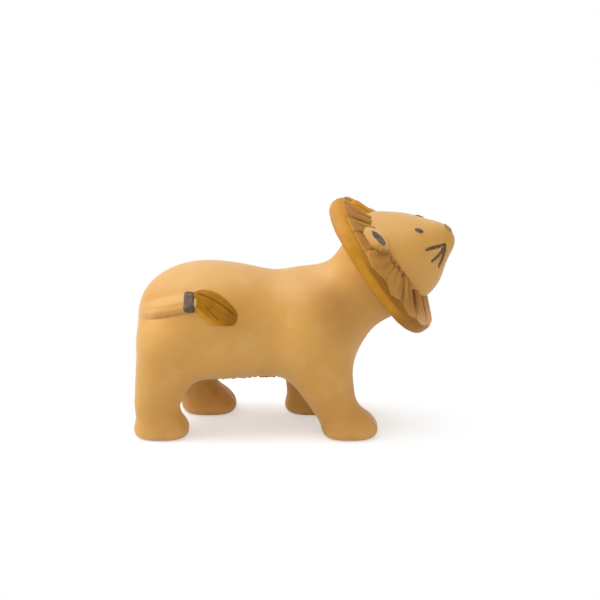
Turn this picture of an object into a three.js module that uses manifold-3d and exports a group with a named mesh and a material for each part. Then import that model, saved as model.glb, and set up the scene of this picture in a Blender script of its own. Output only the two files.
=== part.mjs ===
// A rubber lion, about 120 mm long, walking on four short legs with its head held high inside a round mane.
// Millimetres: X runs from the tail to the nose, Y from the lion's right side to its left, Z is up.
// Every soft form is the skin of a distance field, a few balls, cones and ellipsoids melted into one another.
// The skin is cut along planes where one form of the toy ends and the next begins.
import * as THREE from "three";
import { mergeVertices } from "three/addons/utils/BufferGeometryUtils.js";
import Module from "manifold-3d";

const wasm = await Module();
wasm.setup();

// The trunk: a full rump, a slimmer waist and round shoulders.
const RUMP_X = -32.4;
const RUMP_HEIGHT = 41.5;
const RUMP_HALF_LENGTH = 26;
const RUMP_HALF_WIDTH = 20.6;
const RUMP_HALF_HEIGHT = 20.3;
const RUMP_SQUARENESS = 2.35;
const WAIST_HEIGHT = 39.3;
const WAIST_RADIUS = 20.1;
const SHOULDER_X = 6.3;
const SHOULDER_HEIGHT = 40.3;
const SHOULDER_HALF_LENGTH = 13.8;
const SHOULDER_HALF_WIDTH = 20.5;
const SHOULDER_HALF_HEIGHT = 18.3;
const TRUNK_MELT = 7.5;

// The neck rises from the shoulders to the middle of the mane, where the head looks up and a little aside.
const NECK_ROOT_X = 14.3;
const NECK_ROOT_HEIGHT = 43.4;
const NECK_ROOT_RADIUS = 11.7;
const NECK_RADIUS = 17.4;
const NECK_DROP = 1.5;
const MANE_X = 32.2;
const MANE_HEIGHT = 61.8;
const HEAD_PITCH = 35;
const HEAD_YAW = -3;

// The legs swing from their hips: the right front and left rear step ahead, the other two are left behind.
const FRONT_HIP_X = 7;
const FRONT_HIP_RADIUS = 13.6;
const FRONT_STEP_AHEAD = 8;
const FRONT_STEP_BACK = 2;
const REAR_HIP_X = -46;
const REAR_HIP_RADIUS = 12.6;
const REAR_STEP_AHEAD = 7.2;
const REAR_STEP_BACK = 5.6;
const HIP_HEIGHT = 33;
const HIP_SPREAD = 11.2;
const ANKLE_RADIUS = 8.2;
const ANKLE_HEIGHT = 12.2;
const PAW_SPREAD = 14;
const PAW_HALF_LENGTH = 10.4;
const PAW_HALF_WIDTH = 10;
const PAW_HALF_HEIGHT = 8.6;
const PAW_SQUARENESS = 2.6;
const PAW_SLOPE = 1.65;
const PAW_CENTRE_HEIGHT = 2.4;
const PAW_AHEAD_STEPPING = 6.1;
const PAW_AHEAD_PLANTED = 1.9;
const LEG_MELT = 7;
const PAW_MELT = 5;
const SEAM_BELOW_BELLY = 1;
const TOES = 4;
const TOE_SPACING = 4.1;
const TOE_GROOVE_WIDTH = 1.2;
const TOE_GROOVE_DEPTH = 1.1;

// The mane: a round-edged disc behind the head and a low cone of locks in front of it.
const MANE_BEYOND_BROW = 10.5;
const MANE_THICKNESS = 6.9;
const MANE_CONE_HEIGHT = 3.4;
const MANE_EDGE_SET_BACK = 1.9;
const LOCKS = 20;
const LOCK_WIDTH = 9;
const LOCK_HEIGHT = 1.5;
const LOCK_SWEEP = 13;
const LOCK_OVERHANG = 0.9;
const LOCK_ROOT_DEPTH = 2;

// The head: a straight-browed cone and a rounder jaw that share one muzzle.
const BROW_RADIUS = 18.9;
const BROW_BEHIND = 11.9;
const BROW_RISE = 3.9;
const JAW_RADIUS = 17.2;
const JAW_BEHIND = 0.3;
const JAW_DROP = 1.9;
const MUZZLE_RADIUS = 5.1;
const MUZZLE_AHEAD = 16.4;
const MUZZLE_DROP = 4.3;
const HEAD_MELT = 3.4;

// The face and ears, measured from the back of the head along its own axis.
const EAR_HALF_LENGTH = 6.6;
const EAR_HALF_HEIGHT = 4.8;
const EAR_THICKNESS = 5.2;
const EAR_AHEAD = -1.1;
const EAR_BEYOND_BROW = 1.5;
const EAR_ANGLE = 55;
const EAR_FORWARD_SLANT = 0.2;
const EAR_OUTWARD_TURN = 0.5;
const EAR_BOWL_HALF_LENGTH = 4.1;
const EAR_BOWL_HALF_HEIGHT = 2.8;
const EAR_BOWL_DEPTH = 1.8;
const EAR_LINING = 0.8;
const EAR_SEAT = 0.8;
const EYE_LENGTH = 3.6;
const EYE_HEIGHT = 2.1;
const EYE_AHEAD = 13.7;
const EYE_ANGLE = 35.5;
const EYE_SLANT = 0.85;
const FACE_LEAN = 4.7;
const NOSE_HEIGHT = 4.4;
const NOSE_WIDTH = 5.6;
const NOSE_ANGLE = 28;
const WHISKER_ROOT = { ahead: 17.4, rise: -6.2 };
const WHISKER_ENDS = {
  upper: { ahead: 12.1, rise: -2.8 },
  middle: { ahead: 11.4, rise: -7.8 },
  lower: { ahead: 11.8, rise: -11.4 },
};
const WHISKER_WIDTH = 0.8;
const WHISKER_ROOT_GAP = 1.4;
const PAINT_DEPTH = 0.7;
const PAINT_RISE = 0.25;

// The tail lies along the right hip: a ridge, a band and a leaf-shaped tuft.
const TAIL_WIDTH = 6.4;
const TAIL_RISE = 1.3;
const TAIL_START_HEIGHT = 46.4;
const TAIL_BAND_HEIGHT = 52.8;
const TAIL_TIP_HEIGHT = 45.9;
const TAIL_START_ANGLE = 10;
const TAIL_BAND_ANGLE = 73;
const TAIL_TIP_ANGLE = 119;
const BAND_LENGTH = 4.4;
const BAND_WIDTH = 8.4;
const BAND_RISE = 2.4;
const TUFT_WIDTH = 9.6;
const TUFT_RISE = 2;
const TUFT_GROOVE = 0.35;

// Neighbouring pieces keep this gap, and the skins are sampled at these steps.
const CLEARANCE = 0.3;
const TRUNK_STEP = 4;
const LEG_STEP = 3;
const HEAD_STEP = 2.7;
const EAR_STEP = 1.6;

const degrees = THREE.MathUtils.degToRad;
const vector = (x, y, z) => new THREE.Vector3(x, y, z);

// Distance fields: each takes a point and gives its distance to the form, below zero inside.
// An ellipsoid may be squarer than round, seen from above (plan) or from the side (profile).
function ellipsoid(centre, radii, { plan = 2, profile = 2 } = {}) {
  return (p) => {
    const share = p.clone().sub(centre).divide(radii).toArray().map(Math.abs);
    const flat = (share[0] ** plan + share[1] ** plan) ** (1 / plan);
    const near = (flat ** profile + share[2] ** profile) ** (1 / profile);
    if (near < 1e-6) return -Math.min(radii.x, radii.y, radii.z);
    const across = flat < 1e-6 ? 0 : (flat / near) ** (profile - 1) / flat ** (plan - 1);
    const slope = vector(
      (across * share[0] ** (plan - 1)) / radii.x,
      (across * share[1] ** (plan - 1)) / radii.y,
      (share[2] / near) ** (profile - 1) / radii.z
    );
    return (near - 1) / slope.length();
  };
}

function cone(a, radiusA, b, radiusB) {
  const axis = b.clone().sub(a);
  const length = axis.length();
  axis.divideScalar(length);
  const sine = (radiusA - radiusB) / length;
  const cosine = Math.sqrt(1 - sine * sine);
  return (p) => {
    const d = p.clone().sub(a);
    const along = d.dot(axis);
    const out = Math.sqrt(Math.max(0, d.lengthSq() - along * along));
    const foot = along - (out * sine) / cosine;
    if (foot < 0) return d.length() - radiusA;
    if (foot > length) return p.distanceTo(b) - radiusB;
    return out * cosine + along * sine - radiusA;
  };
}

const melt = (amount, ...fields) => (p) => {
  let value = fields[0](p);
  for (const field of fields.slice(1)) {
    const other = field(p);
    const overlap = Math.max(amount - Math.abs(value - other), 0) / amount;
    value = Math.min(value, other) - (overlap * overlap * amount) / 4;
  }
  return value;
};

const nearest = (...fields) => (p) => Math.min(...fields.map((field) => field(p)));
const grown = (field, amount) => (p) => field(p) - amount;

function slopeOf(field, p) {
  const h = 0.05;
  return vector(
    field(vector(p.x + h, p.y, p.z)) - field(vector(p.x - h, p.y, p.z)),
    field(vector(p.x, p.y + h, p.z)) - field(vector(p.x, p.y - h, p.z)),
    field(vector(p.x, p.y, p.z + h)) - field(vector(p.x, p.y, p.z - h))
  ).divideScalar(2 * h);
}

const outwards = (field, p) => slopeOf(field, p).normalize();

function onSkin(field, p, rounds = 4) {
  const q = p.clone();
  for (let i = 0; i < rounds; i++) {
    const slope = slopeOf(field, q);
    q.addScaledVector(slope, -field(q) / slope.lengthSq());
  }
  return q;
}

// The first point of the skin on the way from a point outside to a point inside.
function seat(field, outside, inside) {
  let out = 0;
  let into = 1;
  const steps = 60;
  for (let i = 1; i <= steps; i++) {
    if (field(outside.clone().lerp(inside, i / steps)) < 0) {
      into = i / steps;
      out = (i - 1) / steps;
      break;
    }
  }
  for (let i = 0; i < 20; i++) {
    const half = (out + into) / 2;
    if (field(outside.clone().lerp(inside, half)) < 0) into = half;
    else out = half;
  }
  return outside.clone().lerp(inside, into);
}

// The closed skin of a field inside a box: each cell that the skin crosses gets one point, and
// the points of neighbouring cells are joined.
function skin(openField, low, high, step) {
  const field = (p) =>
    Math.max(
      openField(p),
      Math.max(low.x - p.x, low.y - p.y, low.z - p.z, p.x - high.x, p.y - high.y, p.z - high.z) + 1.5 * step
    );
  const count = high.clone().sub(low).divideScalar(step).ceil();
  const [nx, ny, nz] = [count.x + 1, count.y + 1, count.z + 1];
  const at = (i, j, k) => (k * ny + j) * nx + i;
  const corner = (i, j, k) => vector(low.x + i * step, low.y + j * step, low.z + k * step);
  const values = new Float64Array(nx * ny * nz);
  for (let k = 0; k < nz; k++) {
    for (let j = 0; j < ny; j++) {
      for (let i = 0; i < nx; i++) values[at(i, j, k)] = field(corner(i, j, k));
    }
  }
  const edges = [];
  for (let a = 0; a < 8; a++) {
    for (const bit of [1, 2, 4]) if (!(a & bit)) edges.push([a, a | bit]);
  }
  const places = [];
  const cells = new Map();
  for (let k = 0; k < nz - 1; k++) {
    for (let j = 0; j < ny - 1; j++) {
      for (let i = 0; i < nx - 1; i++) {
        const sum = vector(0, 0, 0);
        let crossings = 0;
        for (const [a, b] of edges) {
          const [ai, aj, ak] = [i + (a & 1), j + ((a >> 1) & 1), k + (a >> 2)];
          const [bi, bj, bk] = [i + (b & 1), j + ((b >> 1) & 1), k + (b >> 2)];
          const va = values[at(ai, aj, ak)];
          const vb = values[at(bi, bj, bk)];
          if (va < 0 === vb < 0) continue;
          sum.add(corner(ai, aj, ak).lerp(corner(bi, bj, bk), va / (va - vb)));
          crossings++;
        }
        if (!crossings) continue;
        const middle = sum.divideScalar(crossings);
        const settled = onSkin(field, middle, 2);
        cells.set(at(i, j, k), places.length);
        places.push(settled.distanceTo(middle) < step / 2 ? settled : middle);
      }
    }
  }
  const faces = [];
  const quad = (a, b, c, d) => {
    const [pa, pb, pc, pd] = [a, b, c, d].map((n) => places[n]);
    if (pa.distanceTo(pc) <= pb.distanceTo(pd)) faces.push(a, b, c, a, c, d);
    else faces.push(a, b, d, b, c, d);
  };
  const strides = [[1, 0, 0], [0, 1, 0], [0, 0, 1]];
  for (let k = 1; k < nz - 1; k++) {
    for (let j = 1; j < ny - 1; j++) {
      for (let i = 1; i < nx - 1; i++) {
        strides.forEach(([di, dj, dk], axis) => {
          const here = values[at(i, j, k)] < 0;
          if (here === values[at(i + di, j + dj, k + dk)] < 0) return;
          const [u, v] = [strides[(axis + 1) % 3], strides[(axis + 2) % 3]];
          const cell = (a, b) =>
            cells.get(at(i - a * u[0] - b * v[0], j - a * u[1] - b * v[1], k - a * u[2] - b * v[2]));
          const ring = [cell(1, 1), cell(0, 1), cell(0, 0), cell(1, 0)];
          if (!here) ring.reverse();
          quad(...ring);
        });
      }
    }
  }
  const geometry = new THREE.BufferGeometry();
  geometry.setAttribute("position", new THREE.Float32BufferAttribute(places.flatMap((p) => p.toArray()), 3));
  geometry.setIndex(faces);
  return geometry;
}

// Solids for cutting and joining, made from closed geometries and given back as geometries.
// Of what a cut leaves, only the largest body counts: crumbs along a seam are dropped.
function solid(geometry) {
  const plain = geometry.clone();
  plain.deleteAttribute("normal");
  plain.deleteAttribute("uv");
  const merged = mergeVertices(plain, 1e-4);
  const mesh = new wasm.Mesh({
    numProp: 3,
    vertProperties: new Float32Array(merged.attributes.position.array),
    triVerts: new Uint32Array(merged.index.array),
  });
  mesh.merge();
  return new wasm.Manifold(mesh);
}

function geometryOf(body) {
  const largest = body.decompose().reduce((a, b) => (a.volume() > b.volume() ? a : b));
  const { vertProperties, triVerts } = largest.getMesh();
  const geometry = new THREE.BufferGeometry();
  geometry.setAttribute("position", new THREE.Float32BufferAttribute(vertProperties, 3));
  geometry.setIndex(Array.from(triVerts));
  const flat = geometry.toNonIndexed();
  flat.computeVertexNormals();
  return flat;
}

function block(low, high) {
  const size = high.clone().sub(low);
  const middle = low.clone().add(high).divideScalar(2);
  return solid(new THREE.BoxGeometry(size.x, size.y, size.z).translate(middle.x, middle.y, middle.z));
}

// A closed loft through rings of equally many points, with its first and last ring filled.
function loft(rings) {
  const size = rings[0].length;
  const places = rings.flat();
  const faces = [];
  for (let r = 0; r + 1 < rings.length; r++) {
    for (let i = 0; i < size; i++) {
      const [a, b] = [r * size + i, r * size + ((i + 1) % size)];
      faces.push(a, b, b + size, a, b + size, a + size);
    }
  }
  const last = (rings.length - 1) * size;
  for (let i = 1; i + 1 < size; i++) faces.push(0, i + 1, i, last, last + i, last + i + 1);
  let volume = 0;
  for (let i = 0; i < faces.length; i += 3) {
    const [a, b, c] = [0, 1, 2].map((n) => places[faces[i + n]]);
    volume += a.dot(b.clone().cross(c));
  }
  if (volume < 0) faces.reverse();
  const geometry = new THREE.BufferGeometry();
  geometry.setAttribute("position", new THREE.Float32BufferAttribute(places.flatMap((p) => p.toArray()), 3));
  geometry.setIndex(faces);
  return geometry;
}

// A strip that lies on a skin along a line, from one depth to a crowned height, as wide as each station says.
function strip(field, { line, halfWidth, low, high, stations = 10, across = 4 }) {
  const rings = [];
  for (let i = 0; i <= stations; i++) {
    const u = i / stations;
    const centre = line(u);
    const normal = outwards(field, centre);
    const before = line(Math.max(0, u - 0.02));
    const after = line(Math.min(1, u + 0.02));
    const side = normal.clone().cross(after.sub(before)).normalize();
    const under = [];
    const over = [];
    for (let j = 0; j <= across; j++) {
      const v = (2 * j) / across - 1;
      const foot = onSkin(field, centre.clone().addScaledVector(side, v * halfWidth(u)));
      const up = outwards(field, foot);
      under.push(foot.clone().addScaledVector(up, low));
      over.push(foot.clone().addScaledVector(up, high(u, v)));
    }
    rings.push([...under, ...over.reverse()]);
  }
  return loft(rings);
}

// The frame of head, mane and face: its X runs along the head's axis from the mane's middle.
const headTurn = new THREE.Euler(0, degrees(-HEAD_PITCH), degrees(HEAD_YAW), "ZYX");
const neckRoot = vector(NECK_ROOT_X, 0, NECK_ROOT_HEIGHT);
const maneCentre = vector(MANE_X, 0, MANE_HEIGHT);
const headPlace = new THREE.Matrix4().makeRotationFromEuler(headTurn).setPosition(maneCentre);
const MANE_RADIUS = BROW_RADIUS + MANE_BEYOND_BROW;
const MANE_FRONT = MANE_THICKNESS / 2;
const CONE_BACK = MANE_FRONT + CLEARANCE;
const CONE_FRONT = CONE_BACK + MANE_CONE_HEIGHT;
const HEAD_BACK = CONE_FRONT + CLEARANCE;
const NECK_FRONT = -MANE_THICKNESS / 2 - CLEARANCE;

// The trunk and the neck as one field.
const neckEnd = vector(0, 0, -NECK_DROP).applyMatrix4(headPlace);
const trunkField = melt(
  TRUNK_MELT,
  cone(vector(RUMP_X, 0, WAIST_HEIGHT), WAIST_RADIUS, vector(SHOULDER_X, 0, WAIST_HEIGHT), WAIST_RADIUS),
  ellipsoid(
    vector(RUMP_X, 0, RUMP_HEIGHT),
    vector(RUMP_HALF_LENGTH, RUMP_HALF_WIDTH, RUMP_HALF_HEIGHT),
    { profile: RUMP_SQUARENESS }
  ),
  ellipsoid(
    vector(SHOULDER_X, 0, SHOULDER_HEIGHT),
    vector(SHOULDER_HALF_LENGTH, SHOULDER_HALF_WIDTH, SHOULDER_HALF_HEIGHT)
  ),
  cone(neckRoot, NECK_ROOT_RADIUS, neckEnd, NECK_RADIUS)
);

// One leg as a field: a hip that melts into the trunk, a column swung to its ankle and a paw.
function legField({ hipX, hipRadius, swing, pawAhead, side }) {
  const hip = vector(hipX, side * HIP_SPREAD, HIP_HEIGHT);
  const ankle = vector(hipX + swing, side * PAW_SPREAD, ANKLE_HEIGHT);
  const paw = vector(ankle.x + pawAhead, side * PAW_SPREAD, PAW_CENTRE_HEIGHT);
  return melt(
    PAW_MELT,
    cone(hip, hipRadius, ankle, ANKLE_RADIUS),
    ellipsoid(paw, vector(PAW_HALF_LENGTH, PAW_HALF_WIDTH, PAW_HALF_HEIGHT), {
      plan: PAW_SQUARENESS,
      profile: PAW_SLOPE,
    })
  );
}

const FRONT = { front: true, hipX: FRONT_HIP_X, hipRadius: FRONT_HIP_RADIUS };
const REAR = { front: false, hipX: REAR_HIP_X, hipRadius: REAR_HIP_RADIUS };
const stepping = (ahead) => ({ swing: ahead, pawAhead: PAW_AHEAD_STEPPING });
const planted = (back) => ({ swing: -back, pawAhead: PAW_AHEAD_PLANTED });
const legs = [
  { name: "front_right_leg", side: -1, ...FRONT, ...stepping(FRONT_STEP_AHEAD) },
  { name: "front_left_leg", side: 1, ...FRONT, ...planted(FRONT_STEP_BACK) },
  { name: "rear_right_leg", side: -1, ...REAR, ...planted(REAR_STEP_BACK) },
  { name: "rear_left_leg", side: 1, ...REAR, ...stepping(REAR_STEP_AHEAD) },
];
const bodyField = melt(LEG_MELT, trunkField, nearest(...legs.map(legField)));

// The legs end at a level seam just under the lowest point of the belly.
function bellyHeight() {
  let lowest = Infinity;
  for (let x = RUMP_X; x <= SHOULDER_X; x += 1) {
    const under = seat(trunkField, vector(x, 0, -WAIST_HEIGHT), vector(x, 0, WAIST_HEIGHT));
    lowest = Math.min(lowest, under.z);
  }
  return lowest;
}

const SEAM_HEIGHT = bellyHeight() - SEAM_BELOW_BELLY;
const REACH = 2 * (RUMP_HALF_LENGTH - RUMP_X + MANE_X + MANE_RADIUS);

const group = new THREE.Group();
const headGroup = new THREE.Group();
headGroup.matrix.copy(headPlace);
headGroup.matrix.decompose(headGroup.position, headGroup.quaternion, headGroup.scale);
group.add(headGroup);

function addPiece(parent, name, geometry, material) {
  const mesh = new THREE.Mesh(geometry, material());
  mesh.name = name;
  parent.add(mesh);
  return mesh;
}

// The finishes: bare honey-coloured rubber, and thin matt paint over it.
const rubber = (colour, roughness) => () =>
  new THREE.MeshStandardMaterial({ color: colour, roughness, metalness: 0 });
const honeyRubber = rubber(0xe0ac66, 0.62);
const ochrePaint = rubber(0xb4802c, 0.6);
const tanPaint = rubber(0xbe8c58, 0.65);
const tuftPaint = rubber(0xa87522, 0.6);
const greyPaint = rubber(0x79706c, 0.7);
const nosePaint = rubber(0xa47a4a, 0.65);

function makeTrunk() {
  const low = vector(
    RUMP_X - RUMP_HALF_LENGTH - REAR_HIP_RADIUS,
    -RUMP_HALF_WIDTH - REAR_HIP_RADIUS,
    SEAM_HEIGHT - 3 * TRUNK_STEP
  );
  const high = vector(
    maneCentre.x + NECK_RADIUS + TRUNK_MELT,
    RUMP_HALF_WIDTH + REAR_HIP_RADIUS,
    maneCentre.z + NECK_RADIUS + TRUNK_MELT
  );
  const whole = solid(skin(bodyField, low, high, TRUNK_STEP));
  const below = block(vector(-REACH, -REACH, -REACH), vector(REACH, REACH, SEAM_HEIGHT + CLEARANCE / 2));
  const ahead = new THREE.BoxGeometry(REACH, REACH, REACH).translate(REACH / 2 + NECK_FRONT, 0, 0);
  return geometryOf(whole.subtract(below).subtract(solid(ahead.applyMatrix4(headPlace))));
}

function makeLegs() {
  const low = vector(
    REAR_HIP_X - REAR_STEP_BACK - 2 * PAW_HALF_LENGTH,
    -PAW_SPREAD - 2 * PAW_HALF_WIDTH,
    -3 * LEG_STEP
  );
  const high = vector(
    FRONT_HIP_X + FRONT_STEP_AHEAD + PAW_AHEAD_STEPPING + 2 * PAW_HALF_LENGTH,
    PAW_SPREAD + 2 * PAW_HALF_WIDTH,
    SEAM_HEIGHT + 3 * LEG_STEP
  );
  const whole = solid(skin(bodyField, low, high, LEG_STEP));
  const middle = (FRONT_HIP_X + REAR_HIP_X) / 2;
  for (const leg of legs) {
    const room = block(
      vector(leg.front ? middle : -REACH, leg.side > 0 ? CLEARANCE / 2 : -REACH, 0),
      vector(leg.front ? REACH : middle, leg.side > 0 ? REACH : -CLEARANCE / 2, SEAM_HEIGHT - CLEARANCE / 2)
    );
    let body = whole.intersect(room);
    for (const groove of toeGrooves(leg)) body = body.subtract(groove);
    addPiece(group, leg.name, geometryOf(body), honeyRubber);
  }
}

// Shallow grooves down the front of a paw part its toes.
function toeGrooves(leg) {
  const field = legField(leg);
  const grooves = [];
  for (let i = 1; i < TOES; i++) {
    const off = (i - TOES / 2) * TOE_SPACING;
    const y = leg.side * PAW_SPREAD + off;
    const heel = vector(leg.hipX + leg.swing, y, PAW_CENTRE_HEIGHT / 2);
    const front = seat(field, heel.clone().setX(heel.x + 4 * PAW_HALF_LENGTH), heel);
    const reach = PAW_CENTRE_HEIGHT;
    const disc = new THREE.SphereGeometry(1, 8, 6);
    disc.scale(TOE_GROOVE_DEPTH + reach / 2, TOE_GROOVE_WIDTH / 2, reach);
    disc.translate(front.x + reach / 2, y, reach);
    grooves.push(solid(disc));
  }
  return grooves;
}

// The head's own field, in the head's frame.
const browBall = vector(HEAD_BACK - BROW_BEHIND, 0, BROW_RISE);
const jawBall = vector(HEAD_BACK - JAW_BEHIND, 0, -JAW_DROP);
const muzzle = vector(HEAD_BACK + MUZZLE_AHEAD, 0, -MUZZLE_DROP);
const headField = melt(
  HEAD_MELT,
  cone(browBall, BROW_RADIUS, muzzle, MUZZLE_RADIUS),
  cone(jawBall, JAW_RADIUS, muzzle, MUZZLE_RADIUS)
);

// Strokes and spots of paint. Eyes and nose lie in pockets of their own in the head, whiskers on its skin.
const cheekPoint = (ahead, rise, side) =>
  seat(
    headField,
    vector(HEAD_BACK + ahead, side * 2 * BROW_RADIUS, rise),
    vector(HEAD_BACK + ahead, 0, rise)
  );

// A point of the brow: how far ahead it is, and its turn from the top of the face, which leans right.
function browPoint(ahead, turn) {
  const share = (HEAD_BACK + ahead - browBall.x) / (muzzle.x - browBall.x);
  const inside = browBall.clone().lerp(muzzle, share);
  const angle = degrees(turn - FACE_LEAN);
  const outward = vector(0, Math.sin(angle), Math.cos(angle));
  return seat(headField, inside.clone().addScaledVector(outward, 2 * BROW_RADIUS), inside);
}

function stroke(from, to, width) {
  return {
    line: (u) => onSkin(headField, from.clone().lerp(to, u)),
    halfWidth: (u) => (width / 2) * (0.45 + 0.55 * Math.sin(Math.PI * Math.min(1, 0.15 + u))),
  };
}

function spot(centre, along, length, height) {
  const from = centre.clone().addScaledVector(along, -length / 2);
  return {
    line: (u) => onSkin(headField, from.clone().addScaledVector(along, u * length)),
    halfWidth: (u) => Math.max(0.3, Math.sqrt(Math.max(0, 1 - (2 * u - 1) ** 2))) * (height / 2),
  };
}

function inlay({ line, halfWidth }, stations) {
  const make = (extra, rise) => {
    const wider = (u) => halfWidth(u) + extra;
    const beyond = extra / line(0).distanceTo(line(1));
    const longer = (u) => line(u * (1 + 2 * beyond) - beyond);
    const shape = { line: longer, halfWidth: wider, low: -PAINT_DEPTH - extra };
    return solid(strip(headField, { ...shape, high: rise, stations, across: 2 }));
  };
  return {
    paint: make(0, (u, v) => PAINT_RISE * (1 - 0.5 * v * v)),
    pocket: make(CLEARANCE, () => 4 * PAINT_RISE),
  };
}

function raised({ line, halfWidth }) {
  const high = (u, v) => CLEARANCE + PAINT_RISE * (1.5 - 0.5 * v * v);
  return solid(strip(headField, { line, halfWidth, low: CLEARANCE / 2, high, stations: 5, across: 2 }));
}

function makeFace() {
  const paints = [];
  for (const [side, hand] of [[-1, "right"], [1, "left"]]) {
    const eye = browPoint(EYE_AHEAD, side * EYE_ANGLE);
    const normal = outwards(headField, eye);
    const along = vector(1, 0, -EYE_SLANT).projectOnPlane(normal).normalize();
    const shape = spot(eye, along, EYE_LENGTH, EYE_HEIGHT);
    paints.push({ name: `${hand}_eye`, colour: greyPaint, ...inlay(shape, 6) });
    const root = cheekPoint(WHISKER_ROOT.ahead, WHISKER_ROOT.rise, side);
    for (const [place, { ahead, rise }] of Object.entries(WHISKER_ENDS)) {
      const end = cheekPoint(ahead, rise, side);
      const start = root.clone().lerp(end, WHISKER_ROOT_GAP / root.distanceTo(end));
      const name = `${hand}_${place}_whisker`;
      paints.push({ name, colour: greyPaint, paint: raised(stroke(start, end, WHISKER_WIDTH)) });
    }
  }
  const turn = degrees(NOSE_ANGLE);
  const tip = muzzle.clone().add(vector(Math.cos(turn), 0, Math.sin(turn)).multiplyScalar(MUZZLE_RADIUS));
  const nose = spot(onSkin(headField, tip), vector(0, 1, 0), NOSE_WIDTH, NOSE_HEIGHT);
  paints.push({ name: "nose", colour: nosePaint, ...inlay(nose, 6) });
  return paints;
}

// An ear: a lobe along the back edge of the head, a shallow bowl in its face and the bowl's painted lining.
function earParts(side) {
  const angle = degrees(EAR_ANGLE);
  const outward = vector(0, side * Math.sin(angle), Math.cos(angle));
  const centre = outward.clone().multiplyScalar(BROW_RADIUS + EAR_BEYOND_BROW).setX(HEAD_BACK + EAR_AHEAD);
  const along = vector(EAR_FORWARD_SLANT, side * Math.cos(angle), -Math.sin(angle)).normalize();
  const facing = outward.clone().multiplyScalar(EAR_OUTWARD_TURN).setX(1).projectOnPlane(along).normalize();
  const frame = new THREE.Matrix4().makeBasis(facing, along, facing.clone().cross(along)).setPosition(centre);
  const back = frame.clone().invert();
  const inEar = (field) => (p) => field(p.clone().applyMatrix4(back));
  const face = EAR_THICKNESS / 2;
  const lobe = inEar(ellipsoid(vector(0, 0, 0), vector(face, EAR_HALF_LENGTH, EAR_HALF_HEIGHT)));
  const bowlRadii = vector(EAR_BOWL_DEPTH, EAR_BOWL_HALF_LENGTH, EAR_BOWL_HALF_HEIGHT);
  const bowlIn = (radii, ahead) =>
    solid(
      new THREE.SphereGeometry(1, 12, 8)
        .scale(radii.x, radii.y, radii.z)
        .translate(face + ahead, 0, 0)
        .applyMatrix4(frame)
    );
  const bowl = bowlIn(bowlRadii, 0);
  const lining = bowlIn(bowlRadii.clone().subScalar(CLEARANCE), 0).subtract(bowlIn(bowlRadii, EAR_LINING));
  return { centre, lobe, bowl, lining };
}

// The room that the locks leave for an ear: the ear itself and the way out in front of it.
function earRooms(lobe) {
  return [0, 1, 2].map((i) => (p) => lobe(p.clone().setX(p.x - (i * EAR_HALF_HEIGHT) / 2)) - CLEARANCE);
}

function around(centre, reach, field, step) {
  const room = vector(reach, reach, reach);
  return solid(skin(field, centre.clone().sub(room), centre.clone().add(room), step));
}

function makeHead() {
  const reach = BROW_RADIUS + HEAD_MELT + 2 * HEAD_STEP;
  const low = vector(HEAD_BACK - 3 * HEAD_STEP, -reach, -reach);
  const high = vector(muzzle.x + MUZZLE_RADIUS + 2 * HEAD_STEP, reach, reach);
  const behind = block(vector(-REACH, -REACH, -REACH), vector(HEAD_BACK, REACH, REACH));
  let head = solid(skin(headField, low, high, HEAD_STEP)).subtract(behind);
  for (const { name, colour, paint, pocket } of makeFace()) {
    if (pocket) head = head.subtract(pocket);
    addPiece(headGroup, name, geometryOf(paint), colour);
  }
  addPiece(headGroup, "head", geometryOf(head), honeyRubber);
  const ears = [];
  for (const [side, hand] of [[-1, "right"], [1, "left"]]) {
    const { centre, lobe, bowl, lining } = earParts(side);
    const room = EAR_HALF_LENGTH + 3 * EAR_STEP;
    const headRoom = around(centre, 2 * room, grown(headField, CLEARANCE), HEAD_STEP);
    const behindEar = block(vector(-REACH, -REACH, -REACH), vector(CONE_BACK + EAR_SEAT, REACH, REACH));
    const whole = around(centre, room, lobe, EAR_STEP).subtract(bowl).subtract(headRoom);
    const ear = whole.subtract(behindEar.translate(CLEARANCE, 0, 0));
    addPiece(headGroup, `${hand}_ear`, geometryOf(ear), honeyRubber);
    addPiece(headGroup, `${hand}_ear_lining`, geometryOf(lining.subtract(headRoom)), greyPaint);
    const earRoom = around(centre, room + EAR_HALF_HEIGHT, nearest(...earRooms(lobe)), EAR_STEP);
    ears.push(earRoom.subtract(behindEar));
  }
  makeMane(ears);
}

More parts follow.
